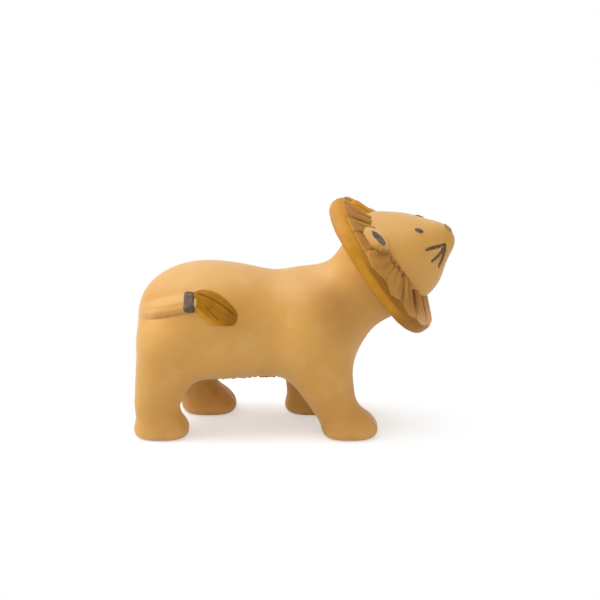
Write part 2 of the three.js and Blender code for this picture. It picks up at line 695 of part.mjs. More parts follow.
// The mane's disc is turned on the head's axis, and its rim is a half round.
function makeMane(ears) {
  const half = MANE_THICKNESS / 2;
  const profile = [new THREE.Vector2(0, -half)];
  const rimSteps = 6;
  for (let i = 0; i <= rimSteps; i++) {
    const turn = -Math.PI / 2 + (Math.PI * i) / rimSteps;
    profile.push(new THREE.Vector2(MANE_RADIUS - half + half * Math.cos(turn), half * Math.sin(turn)));
  }
  profile.push(new THREE.Vector2(0, half));
  const disc = solid(new THREE.LatheGeometry(profile, 48).rotateZ(-Math.PI / 2));
  addPiece(headGroup, "mane_disc", geometryOf(disc), ochrePaint);

  const edge = MANE_RADIUS - MANE_EDGE_SET_BACK;
  const conePoints = [[0, CONE_BACK], [edge, CONE_BACK], [BROW_RADIUS, CONE_FRONT], [0, CONE_FRONT]];
  const coneProfile = conePoints.map(([r, t]) => new THREE.Vector2(r, t));
  let locks = solid(new THREE.LatheGeometry(coneProfile, LOCKS).rotateZ(-Math.PI / 2));
  for (let i = 0; i < LOCKS; i++) locks = locks.add(solid(lock(i)));
  const ahead = block(vector(HEAD_BACK - CLEARANCE, -REACH, -REACH), vector(REACH, REACH, REACH));
  const headRoom = around(vector(HEAD_BACK, 0, 0), 2 * BROW_RADIUS, grown(headField, CLEARANCE), HEAD_STEP);
  const behind = block(vector(-REACH, -REACH, -REACH), vector(CONE_BACK, REACH, REACH));
  locks = locks.subtract(headRoom.intersect(ahead)).subtract(behind);
  for (const ear of ears) locks = locks.subtract(ear);
  addPiece(headGroup, "mane_locks", geometryOf(locks), tanPaint);
}

// One lock of the mane: a leaf that runs down the cone from under the head, widest at its middle.
function lock(i) {
  const turn = (2 * Math.PI * (i + 0.5)) / LOCKS;
  const root = BROW_RADIUS - LOCK_ROOT_DEPTH;
  const tip = MANE_RADIUS - MANE_EDGE_SET_BACK + LOCK_OVERHANG * (i % 2 ? 1 : -1);
  const slope = MANE_CONE_HEIGHT / (MANE_RADIUS - MANE_EDGE_SET_BACK - BROW_RADIUS);
  const section = [[-1, -0.7], [-0.7, 0.6], [0, 1], [0.7, 0.45], [1, -0.7]];
  const rings = [];
  const stations = 4;
  for (let s = 0; s <= stations; s++) {
    const u = s / stations;
    const angle = turn + degrees(LOCK_SWEEP) * Math.sin(turn) * u * u;
    const radius = THREE.MathUtils.lerp(root, tip, u);
    const level = CONE_FRONT - Math.max(0, radius - BROW_RADIUS) * slope;
    const half = (LOCK_WIDTH / 2) * (0.62 + 0.38 * Math.sin(Math.PI * u)) * (1 - 0.55 * u ** 4);
    const height = LOCK_HEIGHT * (1 - 0.35 * u);
    const outward = vector(0, Math.sin(angle), Math.cos(angle));
    const sideways = vector(0, Math.cos(angle), -Math.sin(angle));
    rings.push(
      section.map(([across, up]) =>
        vector(level + up * height, 0, 0)
          .addScaledVector(outward, radius)
          .addScaledVector(sideways, across * half)
      )
    );
  }
  return loft(rings);
}

// A point of the tail's line on the rump, by its turn from the rear towards the right flank.
function tailPoint(turnDegrees, height) {
  const turn = degrees(turnDegrees);
  const axis = vector(RUMP_X, 0, height);
  const outside = axis.clone().add(vector(-Math.cos(turn), -Math.sin(turn), 0).multiplyScalar(REACH / 3));
  return seat(bodyField, outside, axis);
}

const bandMiddle = tailPoint(TAIL_BAND_ANGLE, TAIL_BAND_HEIGHT);
const tailBandRadius = bandMiddle.distanceTo(vector(RUMP_X, 0, TAIL_BAND_HEIGHT));
const turnFor = (length) => THREE.MathUtils.radToDeg(length / tailBandRadius);
const BAND_START_ANGLE = TAIL_BAND_ANGLE - turnFor(BAND_LENGTH / 2);
const BAND_END_ANGLE = TAIL_BAND_ANGLE + turnFor(BAND_LENGTH / 2);

function tailLine(fromTurn, fromHeight, toTurn, toHeight, bend) {
  return (u) =>
    tailPoint(THREE.MathUtils.lerp(fromTurn, toTurn, u), THREE.MathUtils.lerp(fromHeight, toHeight, bend(u)));
}

const crown = (rise, edge) => (u, v) =>
  CLEARANCE + rise(u) * (edge + (1 - edge) * Math.sqrt(1 - 0.98 * v * v));

function makeBand(extra) {
  const start = BAND_START_ANGLE - turnFor(extra);
  const end = BAND_END_ANGLE + turnFor(extra);
  return solid(
    strip(bodyField, {
      line: tailLine(start, TAIL_BAND_HEIGHT, end, TAIL_BAND_HEIGHT, (u) => u),
      halfWidth: () => BAND_WIDTH / 2 + extra,
      low: CLEARANCE - extra,
      high: crown((u) => BAND_RISE * (0.75 + 0.25 * Math.sin(Math.PI * u)) + extra, 0.2),
      stations: 4,
      across: 8,
    })
  );
}

function makeTail() {
  const tail = {
    line: tailLine(
      TAIL_START_ANGLE,
      TAIL_START_HEIGHT,
      TAIL_BAND_ANGLE,
      TAIL_BAND_HEIGHT,
      (u) => Math.sin((u * Math.PI) / 2)
    ),
    halfWidth: (u) => (TAIL_WIDTH / 2) * (0.6 + 0.4 * Math.min(1, 3 * u)),
    low: CLEARANCE,
    high: crown((u) => TAIL_RISE * (0.15 + 0.85 * Math.min(1, 1.5 * u)), 0.2),
    stations: 12,
    across: 6,
  };
  const grooves = (u, v) => TUFT_GROOVE * Math.max(0, Math.cos(2.5 * Math.PI * v)) * Math.min(1, 3 * u);
  const tuftCrown = crown((u) => TUFT_RISE * (1 - 0.35 * u), 0.3);
  const tuft = {
    line: tailLine(TAIL_BAND_ANGLE, TAIL_BAND_HEIGHT, TAIL_TIP_ANGLE, TAIL_TIP_HEIGHT, (u) => u),
    halfWidth: (u) =>
      (TUFT_WIDTH / 2) * (0.64 + 0.36 * Math.sin(Math.PI * (0.1 + 0.85 * u))) * (1 - 0.55 * u ** 8),
    low: CLEARANCE,
    high: (u, v) => tuftCrown(u, v) - grooves(u, v),
    stations: 12,
    across: 10,
  };
  const bandRoom = makeBand(CLEARANCE);
  addPiece(group, "tail", geometryOf(solid(strip(bodyField, tail)).subtract(bandRoom)), honeyRubber);
  addPiece(group, "tail_band", geometryOf(makeBand(0)), greyPaint);
  addPiece(group, "tail_tuft", geometryOf(solid(strip(bodyField, tuft)).subtract(bandRoom)), tuftPaint);
}

addPiece(group, "trunk", makeTrunk(), honeyRubber);
makeLegs();
makeHead();
makeTail();

// The origin is under the middle of the whole toy, at the level of its soles.
const box = new THREE.Box3().setFromObject(group, true);
const middle = box.getCenter(new THREE.Vector3());
group.position.set(-middle.x, -middle.y, -box.min.z);
group.updateMatrixWorld(true);

export default group;
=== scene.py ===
# Looks of a soft rubber toy lion: its one moulded skin, its carved mane and the paint brushed on it.
# Shapes are in millimetres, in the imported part's frame: +X to the head, the right side at -Y, +Z up.
# The body and the head are skins of distance fields. Their main forms have the part's own sizes, while ear
# hollows, eyes and whiskers have sizes or places of their own.
import math

import bpy
import numpy as np
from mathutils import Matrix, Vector


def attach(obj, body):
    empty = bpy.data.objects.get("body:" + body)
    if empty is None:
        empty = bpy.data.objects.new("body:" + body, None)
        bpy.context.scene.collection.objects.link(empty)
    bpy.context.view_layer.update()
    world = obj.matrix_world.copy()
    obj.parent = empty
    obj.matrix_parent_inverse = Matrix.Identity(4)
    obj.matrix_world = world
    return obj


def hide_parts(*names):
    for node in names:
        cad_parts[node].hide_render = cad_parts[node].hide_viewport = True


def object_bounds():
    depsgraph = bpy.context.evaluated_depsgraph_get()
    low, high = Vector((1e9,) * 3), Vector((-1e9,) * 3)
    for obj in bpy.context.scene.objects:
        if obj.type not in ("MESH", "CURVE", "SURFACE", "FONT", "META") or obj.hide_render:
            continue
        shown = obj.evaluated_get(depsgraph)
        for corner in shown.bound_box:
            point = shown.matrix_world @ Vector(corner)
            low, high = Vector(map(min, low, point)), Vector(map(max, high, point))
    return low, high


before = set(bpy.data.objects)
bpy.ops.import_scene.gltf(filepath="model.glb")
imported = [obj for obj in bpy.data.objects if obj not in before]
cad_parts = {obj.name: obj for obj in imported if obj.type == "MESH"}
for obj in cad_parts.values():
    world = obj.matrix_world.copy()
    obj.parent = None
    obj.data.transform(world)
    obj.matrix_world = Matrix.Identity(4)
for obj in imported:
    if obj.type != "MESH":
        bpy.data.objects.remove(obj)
cad_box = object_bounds()
MM = 0.001

# The body: rump, waist, shoulders and neck melted into each other, then the four legs.
MANE_X = 32.2
HEAD_PITCH = math.radians(35)
HEAD_YAW = math.radians(-3)
RUMP = {"x": -32.4, "height": 41.5, "radii": (26, 20.6, 20.3), "square": 2.35}
WAIST = {"height": 39.3, "radius": 20.1}
SHOULDER = {"x": 6.3, "height": 40.3, "radii": (13.8, 20.5, 18.3)}
NECK_ROOT = {"x": 14.3, "height": 43.4, "radius": 11.7}
NECK_END = {"drop": 1.5, "radius": 17.4}
NECK_CUT = {"behind": 2.2, "round": 0.3}
TRUNK_MELT = 7.5
HIP = {"height": 33, "spread": 11.2}
ANKLE = {"height": 12.2, "radius": 8.2}
PAW = {"spread": 14, "height": 2.4, "radii": (10.4, 10, 8.6), "square": 2.6, "slope": 1.65}
LEG_MELT = 7
PAW_MELT = 5
SOLE_ROUND = 1.7
LEGS = [
    {"side": -1, "hip": 7, "radius": 13.6, "swing": 8, "ahead": 6.1},
    {"side": 1, "hip": 7, "radius": 13.6, "swing": -2, "ahead": 1.9},
    {"side": -1, "hip": -46, "radius": 12.6, "swing": -5.6, "ahead": 1.9},
    {"side": 1, "hip": -46, "radius": 12.6, "swing": 7.2, "ahead": 6.1},
]
# Grooves between the toes. Each one starts and ends ahead of the paw's middle, and fades out between two
# heights.
TOES = {"spacing": 4.1, "depths": (0.65, 0.55, 0.65), "width": 0.42}
TOE_START, TOE_END, TOE_TOP = (2.5, 6.5), (16, 14), (7.6, 4.6)

# The tail, by the turn about the rump's upright axis, in degrees from straight behind.
TAIL_TURNS = (10, 73)
TAIL_PATH = {"start": 44.3, "climb": 0.155, "level": 0.00048}
TAIL_WIDTH = 6.2
TAIL_RISE = 1.6
TAIL_CREASE = {"depth": 0.16, "below": 1.3, "width": 0.22, "middle": 0.55, "reach": 0.24}

# The head, in its own frame: ahead from the mane's middle, then to the lion's left, then up.
MANE_RADIUS = 29.4
MANE_THICKNESS = 6.9
LOCK_BED_FRONT = 7.15
BED_SLOPE = 0.36
HEAD_BACK = 7.45
HEAD_CUT = {"ahead": 4.6, "round": 0.4}
BROW = {"behind": 11.9, "rise": 3.9, "radius": 18.9}
JAW = {"behind": 0.3, "drop": 1.9, "radius": 17.2}
MUZZLE = {"ahead": 16.4, "drop": 4.3, "radius": 5.1}
HEAD_MELT = 3.4
# Places where the head's skin stands a little out or in: middle, reach and how far.
HEAD_SWELLS = [
    ((10.5, 0, 16.5), (5.0, 12, 9), 0.9),
    ((25.4, 0, 1.2), (4.2, 5, 4.2), 0.6),
    ((28.9, 0, -5.0), (3.5, 5, 4), -0.35),
]
EAR = {"ahead": -0.9, "ring": 20.5, "angle": math.radians(51.3), "slant": 0.2, "turn": 0.55, "melt": 2.4}
EAR_RADII = (2.5, 6.9, 4.7)
EAR_WAVE = 0.025
EAR_BOWL = {"middle": (3.5, 1.35, -0.1), "radii": (1.7, 4.9, 2.95), "round": 0.7}
EYES = {-1: {"ahead": 13.4, "turn": -45.2, "slant": 0.85}, 1: {"ahead": 14.6, "turn": 20.5, "slant": 0.6}}
EYE_RADII = (1.82, 1.12)
EYE_DOME = 0.5
NOSE_TURN = math.radians(23)
NOSE_RADII = (3.1, 2.1)
NOSE_RISE = 0.22
NOSTRIL = {"beside": 1.15, "drop": 0.25, "depth": 0.45, "radius": 0.55}
# Whiskers: three strokes from one root on each cheek, bent a little. Each point is how far ahead and how high
# it is.
WHISKERS = {
    "upper": ((17.9, -5.7), (15.0, -3.7), (11.7, -1.9)),
    "middle": ((17.5, -5.8), (14.5, -7.0), (10.9, -6.8)),
    "lower": ((17.9, -5.5), (15.1, -8.8), (11.3, -11.1)),
}
WHISKER_WIDTHS = {"upper": 1.25, "middle": 1.2, "lower": 1.95}
WHISKER_DEPTH = 0.46
WHISKER_BANK = {"height": 0.17, "beside": 1.2, "width": 0.42}
# The line of a darker brown tint between the middle and the lowest whisker, on both cheeks.
WHISKER_TINT_LINE = ((16.2, -7.0), (14.4, -8.1), (12.7, -9.2))

# Distance fields: each gives how far a point lies outside a form, in millimetres, and less than 0 inside it.


def ellipsoid(centre, radii, plan=2.0, profile=2.0):
    """An ellipsoid, squarer from above where plan is over 2, and from the side where profile is."""
    centre, radii = np.array(centre, float), np.array(radii, float)

    def field(p):
        share = np.abs((p - centre) / radii)
        flat = np.maximum((share[..., 0] ** plan + share[..., 1] ** plan) ** (1 / plan), 1e-6)
        near = np.maximum((flat ** profile + share[..., 2] ** profile) ** (1 / profile), 1e-6)
        across = (flat / near) ** (profile - 1) / flat ** (plan - 1)
        slope = (across * share[..., 0] ** (plan - 1) / radii[0]) ** 2
        slope += (across * share[..., 1] ** (plan - 1) / radii[1]) ** 2
        slope += ((share[..., 2] / near) ** (profile - 1) / radii[2]) ** 2
        return (near - 1) / np.sqrt(np.maximum(slope, 1e-6))

    return field


def cone(start, start_radius, end, end_radius):
    """A round-ended cone between two balls."""
    start, end = np.array(start, float), np.array(end, float)
    length = np.linalg.norm(end - start)
    axis = (end - start) / length
    sine = (start_radius - end_radius) / length
    cosine = math.sqrt(1 - sine * sine)

    def field(p):
        d = p - start
        along = d @ axis
        reach = (d * d).sum(-1)
        out = np.sqrt(np.maximum(0, reach - along * along))
        foot = along - out * sine / cosine
        side = out * cosine + along * sine - start_radius
        near_end = np.sqrt(((p - end) ** 2).sum(-1)) - end_radius
        return np.where(foot < 0, np.sqrt(reach) - start_radius, np.where(foot > length, near_end, side))

    return field


def melted(amount, a, b):
    overlap = np.maximum(amount - np.abs(a - b), 0) / amount
    return np.minimum(a, b) - overlap * overlap * amount / 4


def cut(amount, a, b):
    """What two forms share, with its edge rounded by an amount."""
    return -melted(amount, -a, -b)


def melt(amount, *fields):
    def field(p):
        value = fields[0](p)
        for other in fields[1:]:
            value = melted(amount, value, other(p))
        return value

    return field


def smooth(low, high, x):
    """0 at low and 1 at high, with a soft start and end."""
    t = np.clip((x - low) / (high - low), 0, 1)
    return t * t * (3 - 2 * t)


def bell(x, width):
    return np.exp(-((x / width) ** 2))


def slope_of(field, p):
    h = 0.02
    steps = np.eye(3) * h
    return np.stack([field(p + s) - field(p - s) for s in steps], -1) / (2 * h)


def settle(field, p, rounds=3):
    """The points, moved onto the skin of the field, and the skin's outward direction there."""
    for _ in range(rounds):
        slope = slope_of(field, p)
        size = np.maximum((slope * slope).sum(-1, keepdims=True), 1e-4)
        p = p - np.clip(field(p)[..., None] * slope / size, -1, 1)
    slope = slope_of(field, p)
    return p, slope / np.maximum(np.linalg.norm(slope, axis=-1, keepdims=True), 1e-9)


def seat_on(field, start, end):
    """Where the line from start, outside, to end, inside, meets the skin."""
    start, end = np.array(start, float), np.array(end, float)
    low, high = np.zeros(start.shape[:-1]), np.ones(start.shape[:-1])
    for _ in range(34):
        middle = (low + high) / 2
        outside = field(start + (end - start) * middle[..., None]) > 0
        low, high = np.where(outside, middle, low), np.where(outside, high, middle)
    return start + (end - start) * high[..., None]


def skin(field, low, high, step):
    """The closed skin of a field: a point in each grid cell that it crosses, joined across crossed edges."""
    axes = [np.arange(lo, hi + step, step) for lo, hi in zip(low, high)]
    counts = [len(a) for a in axes]
    value = np.empty(counts, np.float32)
    layer = np.zeros((counts[0], counts[1], 3))
    layer[..., 0] = axes[0][:, None]
    layer[..., 1] = axes[1][None, :]
    for k, height in enumerate(axes[2]):
        layer[..., 2] = height
        value[:, :, k] = field(layer)
    inside = value < 0
    corners = [(i, j, k) for i in (0, 1) for j in (0, 1) for k in (0, 1)]
    windows = [tuple(slice(o, n - 1 + o) for o, n in zip(c, counts)) for c in corners]
    filled = sum(inside[w].astype(np.int8) for w in windows)
    mixed = (filled > 0) & (filled < 8)
    index = np.full(mixed.shape, -1, np.int32)
    cells = np.argwhere(mixed)
    index[mixed] = np.arange(len(cells))
    total = np.zeros((len(cells), 3))
    count = np.zeros(len(cells))
    for axis in range(3):
        for corner in corners:
            if corner[axis]:
                continue
            near = cells + corner
            far = near.copy()
            far[:, axis] += 1
            a, b = value[tuple(near.T)].astype(float), value[tuple(far.T)].astype(float)
            crossed = (a < 0) != (b < 0)
            place = np.tile(np.array(corner, float), (len(cells), 1))
            place[:, axis] = np.where(crossed, a / np.where(crossed, a - b, 1), 0)
            total += place * crossed[:, None]
            count += crossed
    points = np.array([a[0] for a in axes]) + step * (cells + total / count[:, None])
    faces = []
    for axis in range(3):
        u, v = (axis + 1) % 3, (axis + 2) % 3
        near = np.take(inside, np.arange(counts[axis] - 1), axis)
        far = np.take(inside, np.arange(1, counts[axis]), axis)
        edges = np.argwhere(near != far)
        edges = edges[(edges[:, u] > 0) & (edges[:, v] > 0)]
        edges = edges[(edges[:, u] < counts[u] - 1) & (edges[:, v] < counts[v] - 1)]
        around = []
        for du, dv in ((-1, -1), (0, -1), (0, 0), (-1, 0)):
            cell = edges.copy()
            cell[:, u] += du
            cell[:, v] += dv
            around.append(index[tuple(cell.T)])
        quads = np.stack(around, -1)
        leaving = near[tuple(edges.T)]
        quads[~leaving] = quads[~leaving][:, ::-1]
        faces.append(quads)
    points, _ = settle(field, points, 2)
    return points, np.concatenate(faces)


# The head's own frame.


def volume_centre(node):
    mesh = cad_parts[node].data
    mesh.calc_loop_triangles()
    corners = np.array([v.co for v in mesh.vertices])
    tris = corners[np.array([t.vertices for t in mesh.loop_triangles])]
    volume = np.einsum("ij,ij->i", tris[:, 0], np.cross(tris[:, 1], tris[:, 2]))
    return (tris.sum(1) / 4 * volume[:, None]).sum(0) / volume.sum() / MM


MANE_CENTRE = volume_centre("mane_disc")
SHIFT = np.array([MANE_CENTRE[0] - MANE_X, 0, 0])
FORWARD = np.array([
    math.cos(HEAD_PITCH) * math.cos(HEAD_YAW),
    math.cos(HEAD_PITCH) * math.sin(HEAD_YAW),
    math.sin(HEAD_PITCH),
])
LEFT = np.array([-math.sin(HEAD_YAW), math.cos(HEAD_YAW), 0])
HEAD_AXES = np.stack([FORWARD, LEFT, np.cross(FORWARD, LEFT)])


def to_head(p):
    return (p - MANE_CENTRE) @ HEAD_AXES.T


def from_head(q):
    return q @ HEAD_AXES + MANE_CENTRE


def unit(v):
    v = np.array(v, float)
    return v / np.linalg.norm(v)


# The body's field.


def leg_field(leg):
    hip = (leg["hip"], leg["side"] * HIP["spread"], HIP["height"])
    ankle = (leg["hip"] + leg["swing"], leg["side"] * PAW["spread"], ANKLE["height"])
    paw = (ankle[0] + leg["ahead"], ankle[1], PAW["height"])
    foot = ellipsoid(paw, PAW["radii"], plan=PAW["square"], profile=PAW["slope"])
    return melt(PAW_MELT, cone(hip, leg["radius"], ankle, ANKLE["radius"]), foot)


NECK_FIELD = cone(
    (NECK_ROOT["x"], 0, NECK_ROOT["height"]),
    NECK_ROOT["radius"],
    from_head(np.array([0, 0, -NECK_END["drop"]])) - SHIFT,
    NECK_END["radius"],
)
TRUNK_FIELD = melt(
    TRUNK_MELT,
    cone(
        (RUMP["x"], 0, WAIST["height"]), WAIST["radius"], (SHOULDER["x"], 0, WAIST["height"]), WAIST["radius"]
    ),
    ellipsoid((RUMP["x"], 0, RUMP["height"]), RUMP["radii"], profile=RUMP["square"]),
    ellipsoid((SHOULDER["x"], 0, SHOULDER["height"]), SHOULDER["radii"]),
    NECK_FIELD,
)
LEG_FIELDS = [leg_field(leg) for leg in LEGS]


def plain_body(p):
    """The body without its tail and toes; the legs melt into the trunk."""
    p = p - SHIFT
    legs = LEG_FIELDS[0](p)
    for field in LEG_FIELDS[1:]:
        legs = np.minimum(legs, field(p))
    return melted(LEG_MELT, TRUNK_FIELD(p), legs)


def tail_height(turn):
    """The height of the tail's middle line: it climbs from behind and levels out towards the tuft."""
    return TAIL_PATH["start"] + TAIL_PATH["climb"] * turn - TAIL_PATH["level"] * turn * turn


def tail_ridge(p):
    """How far the tail stands out of the rump: a low soft ridge with a faint crease under it."""
    x, y, z = p[..., 0] - SHIFT[0] - RUMP["x"], p[..., 1], p[..., 2]
    turn = np.degrees(np.arctan2(-y, -x))
    off = (z - tail_height(turn)) / (TAIL_WIDTH / 2)
    u = (turn - TAIL_TURNS[0]) / (TAIL_TURNS[1] - TAIL_TURNS[0])
    rise = TAIL_RISE * (0.2 + 0.8 * smooth(0, 0.6, u)) * smooth(-0.22, 0.1, u) * smooth(1.35, 1.1, u)
    crown = smooth(1.3, 0.2, np.abs(off))
    crease = TAIL_CREASE["depth"] * bell(off + TAIL_CREASE["below"], TAIL_CREASE["width"])
    crease = crease * bell(u - TAIL_CREASE["middle"], TAIL_CREASE["reach"])
    return rise * crown - crease * (x < 4)


def toe_grooves(p):
    """How deep the grooves between the toes are: they fade above the paw and behind its front."""
    p = p - SHIFT
    depth = 0
    for leg in LEGS:
        ahead = p[..., 0] - (leg["hip"] + leg["swing"] + leg["ahead"])
        fade = smooth(*TOE_START, ahead) * smooth(*TOE_END, ahead) * smooth(*TOE_TOP, p[..., 2])
        for i, deep in zip((-1, 0, 1), TOES["depths"]):
            off = p[..., 1] - leg["side"] * PAW["spread"] - i * TOES["spacing"]
            depth = depth + deep * bell(off, TOES["width"]) * fade
    return depth


def body_field(p):
    value = plain_body(p) - tail_ridge(p) + toe_grooves(p)
    value = cut(SOLE_ROUND, value, -p[..., 2])
    return cut(NECK_CUT["round"], value, (p - MANE_CENTRE) @ FORWARD + NECK_CUT["behind"])


# The head's field, with every mark that is raised or sunk in its skin.

MUZZLE_POINT = np.array([HEAD_BACK + MUZZLE["ahead"], 0, -MUZZLE["drop"]])
HEAD_FIELD = melt(
    HEAD_MELT,
    cone((HEAD_BACK - BROW["behind"], 0, BROW["rise"]), BROW["radius"], MUZZLE_POINT, MUZZLE["radius"]),
    cone((HEAD_BACK - JAW["behind"], 0, -JAW["drop"]), JAW["radius"], MUZZLE_POINT, MUZZLE["radius"]),
)


def ear_frame(side):
    """An ear's middle and its three directions: the way it faces, along it and across it."""
    angle = EAR["angle"]
    outward = np.array([0, side * math.sin(angle), math.cos(angle)])
    centre = outward * EAR["ring"] + np.array([HEAD_BACK + EAR["ahead"], 0, 0])
    along = unit([EAR["slant"], side * math.cos(angle), -math.sin(angle)])
    facing = outward * EAR["turn"] + np.array([1, 0, 0])
    facing = unit(facing - along * (facing @ along))
    return centre, np.stack([facing, along, side * np.cross(facing, along)])


def brow_point(ahead, turn):
    """A point of the brow: how far ahead it is and its turn from the top of the head."""
    brow = np.array([HEAD_BACK - BROW["behind"], 0, BROW["rise"]])
    inside = brow + (MUZZLE_POINT - brow) * (HEAD_BACK + ahead - brow[0]) / (MUZZLE_POINT[0] - brow[0])
    turn = math.radians(turn)
    return seat_on(HEAD_FIELD, inside + 40 * np.array([0, math.sin(turn), math.cos(turn)]), inside)


def cheek(ahead, rise, side):
    return seat_on(HEAD_FIELD, [HEAD_BACK + ahead, side * 40, rise], [HEAD_BACK + ahead, 0, rise])


def bent(points, u):
    """A smooth line through three points."""
    a, b, c = (np.array(p, float) for p in points)
    u = np.asarray(u)[..., None]
    return a * (1 - u) * (1 - 2 * u) + b * 4 * u * (1 - u) + c * u * (2 * u - 1)


def whisker_line(side, name):
    steps = bent(WHISKERS[name], np.linspace(0, 1, 24))
    return np.array([cheek(ahead, rise, side) for ahead, rise in steps])


def eye_frame(side):
    """An eye's middle and its three directions: outwards, along it and across it."""
    middle = brow_point(EYES[side]["ahead"], EYES[side]["turn"])
    _, normal = settle(HEAD_FIELD, middle)
    along = np.array([1, 0, -EYES[side]["slant"]])
    along = unit(along - normal * (along @ normal))
    return middle, np.stack([normal, along, np.cross(normal, along)])


WHISKER_LINES = {(side, name): whisker_line(side, name) for side in (-1, 1) for name in WHISKERS}
EYE_FRAMES = {side: eye_frame(side) for side in EYES}
NOSE_OUT = np.array([math.cos(NOSE_TURN), 0, math.sin(NOSE_TURN)])
NOSE_MIDDLE = MUZZLE_POINT + NOSE_OUT * MUZZLE["radius"]
NOSE_AXES = np.stack([NOSE_OUT, np.array([0.0, 1, 0]), np.cross(NOSE_OUT, [0.0, 1, 0])])


def near_line(p, line):
    """The distance from each point to a line of points."""
    best = np.full(p.shape[:-1], np.inf)
    for a, b in zip(line[:-1], line[1:]):
        edge = b - a
        t = np.clip(((p - a) @ edge) / (edge @ edge), 0, 1)
        best = np.minimum(best, np.linalg.norm(p - a - t[..., None] * edge, axis=-1))
    return best


def change_near(value, p, middle, reach, change):
    """The value with a change worked out only for the points near a middle."""
    near = np.abs(p - middle).max(-1) < reach
    if near.any():
        value = value.copy()
        value[near] = change(p[near], value[near])
    return value


def with_whiskers(side):
    def change(p, value):
        for name, width in WHISKER_WIDTHS.items():
            off = near_line(p, WHISKER_LINES[side, name][::3])
            bank = WHISKER_BANK["height"] * bell(off - WHISKER_BANK["beside"] * width, WHISKER_BANK["width"])
            value = value + WHISKER_DEPTH * bell(off, 0.6 * width) - bank
        return value

    return change


def with_eye(side):
    middle, axes = EYE_FRAMES[side]

    def change(p, value):
        q = (p - middle) @ axes.T
        ring = np.hypot(q[..., 1] / EYE_RADII[0], q[..., 2] / EYE_RADII[1])
        dome = EYE_DOME * np.sqrt(np.maximum(0, 1 - smooth(0.2, 1.15, ring)))
        return value - dome - 0.1 * bell(ring - 1.25, 0.3)

    return change


def with_nose(p, value):
    q = (p - NOSE_MIDDLE) @ NOSE_AXES.T
    across, up = q[..., 1], -q[..., 2]
    ring = np.hypot(across / NOSE_RADII[0], up / NOSE_RADII[1])
    value = value - NOSE_RISE * smooth(1.1, 0.75, ring)
    for side in (-1, 1):
        off = np.hypot(across - side * NOSTRIL["beside"], (up + NOSTRIL["drop"]) * 0.9)
        value = value + NOSTRIL["depth"] * bell(off, NOSTRIL["radius"])
    return value + 0.18 * bell(across, 0.28) * smooth(0.4, -0.8, up) * smooth(-2.6, -1.8, up)


def with_ear(side):
    centre, axes = ear_frame(side)

    def change(p, value):
        q = (p - centre) @ axes.T
        q = q / (1 + EAR_WAVE * np.sin(3 * np.arctan2(q[:, 2], q[:, 1]) + 0.7))[:, None]
        lobe = ellipsoid((0, 0, 0), EAR_RADII)(q)
        bowl = ellipsoid(EAR_BOWL["middle"], EAR_BOWL["radii"])(q)
        return cut(EAR_BOWL["round"], melted(EAR["melt"], value, lobe), -bowl)

    return change


def head_field(q):
    """The whole head in its own frame: its skin, the ears and every raised or sunk mark on it."""
    value = HEAD_FIELD(q)
    for middle, reach, amount in HEAD_SWELLS:
        value = value - amount * bell(np.linalg.norm((q - np.array(middle)) / reach, axis=-1), 1)
    for side in (-1, 1):
        value = change_near(value, q, WHISKER_LINES[side, "middle"][8], 7.5, with_whiskers(side))
        value = change_near(value, q, EYE_FRAMES[side][0], 3.5, with_eye(side))
    value = change_near(value, q, NOSE_MIDDLE, 4.5, with_nose)
    for side in (-1, 1):
        value = change_near(value, q, ear_frame(side)[0], 11, with_ear(side))
    return cut(HEAD_CUT["round"], value, HEAD_CUT["ahead"] - q[..., 0])


# Turning points and faces into pieces.


def mesh_piece(name, points, faces):
    mesh = bpy.data.meshes.new(name)
    faces = faces if isinstance(faces, list) else faces.tolist()
    mesh.from_pydata((np.asarray(points) * MM).tolist(), [], faces)
    mesh.validate()
    mesh.update()
    piece = bpy.data.objects.new(name, mesh)
    bpy.context.scene.collection.objects.link(piece)
    mesh.polygons.foreach_set("use_smooth", [True] * len(mesh.polygons))
    return piece


def corners_of(mesh):
    places = np.empty(len(mesh.vertices) * 3)
    mesh.vertices.foreach_get("co", places)
    return places.reshape(-1, 3)


def points_of(piece):
    return corners_of(piece.data) / MM


def edges_of(piece):
    pairs = np.empty(len(piece.data.edges) * 2, np.int64)
    piece.data.edges.foreach_get("vertices", pairs)
    return pairs.reshape(-1, 2)


def averaged(values, edges, rounds):
    """Values on points, each drawn halfway to the middle of its neighbours, some rounds over."""
    values = np.asarray(values, float)
    flat = values.reshape(len(values), -1)
    a, b = edges[:, 0], edges[:, 1]
    n = len(flat)
    count = np.maximum(np.bincount(a, minlength=n) + np.bincount(b, minlength=n), 1)
    for _ in range(rounds):
        total = np.stack([
            np.bincount(a, weights=flat[b, k], minlength=n) + np.bincount(b, weights=flat[a, k], minlength=n)
            for k in range(flat.shape[1])
        ], -1)
        flat = flat + 0.5 * (total / count[:, None] - flat)
    return flat.reshape(values.shape)


def hollow_of(piece, rounds):
    """How far each point lies in a hollow (above zero) or on a ridge (below zero), in millimetres."""
    points = points_of(piece)
    normals = np.empty(len(points) * 3)
    piece.data.vertices.foreach_get("normal", normals)
    spread = averaged(points, edges_of(piece), rounds)
    return ((spread - points) * normals.reshape(-1, 3)).sum(-1)


def set_attribute(piece, key, values):
    layer = piece.data.attributes.new(key, "FLOAT", "POINT")
    layer.data.foreach_set("value", np.asarray(values, np.float32).reshape(-1))


def outward(piece):
    """The piece with its faces turned outwards, whichever way they were laid."""
    mesh = piece.data
    mesh.calc_loop_triangles()
    places = points_of(piece)
    places = places - places.mean(0)
    a, b, c = places[np.array([t.vertices for t in mesh.loop_triangles])].transpose(1, 0, 2)
    if np.einsum("ij,ij->i", a, np.cross(b, c)).sum() < 0:
        mesh.flip_normals()
        mesh.update()
    return piece


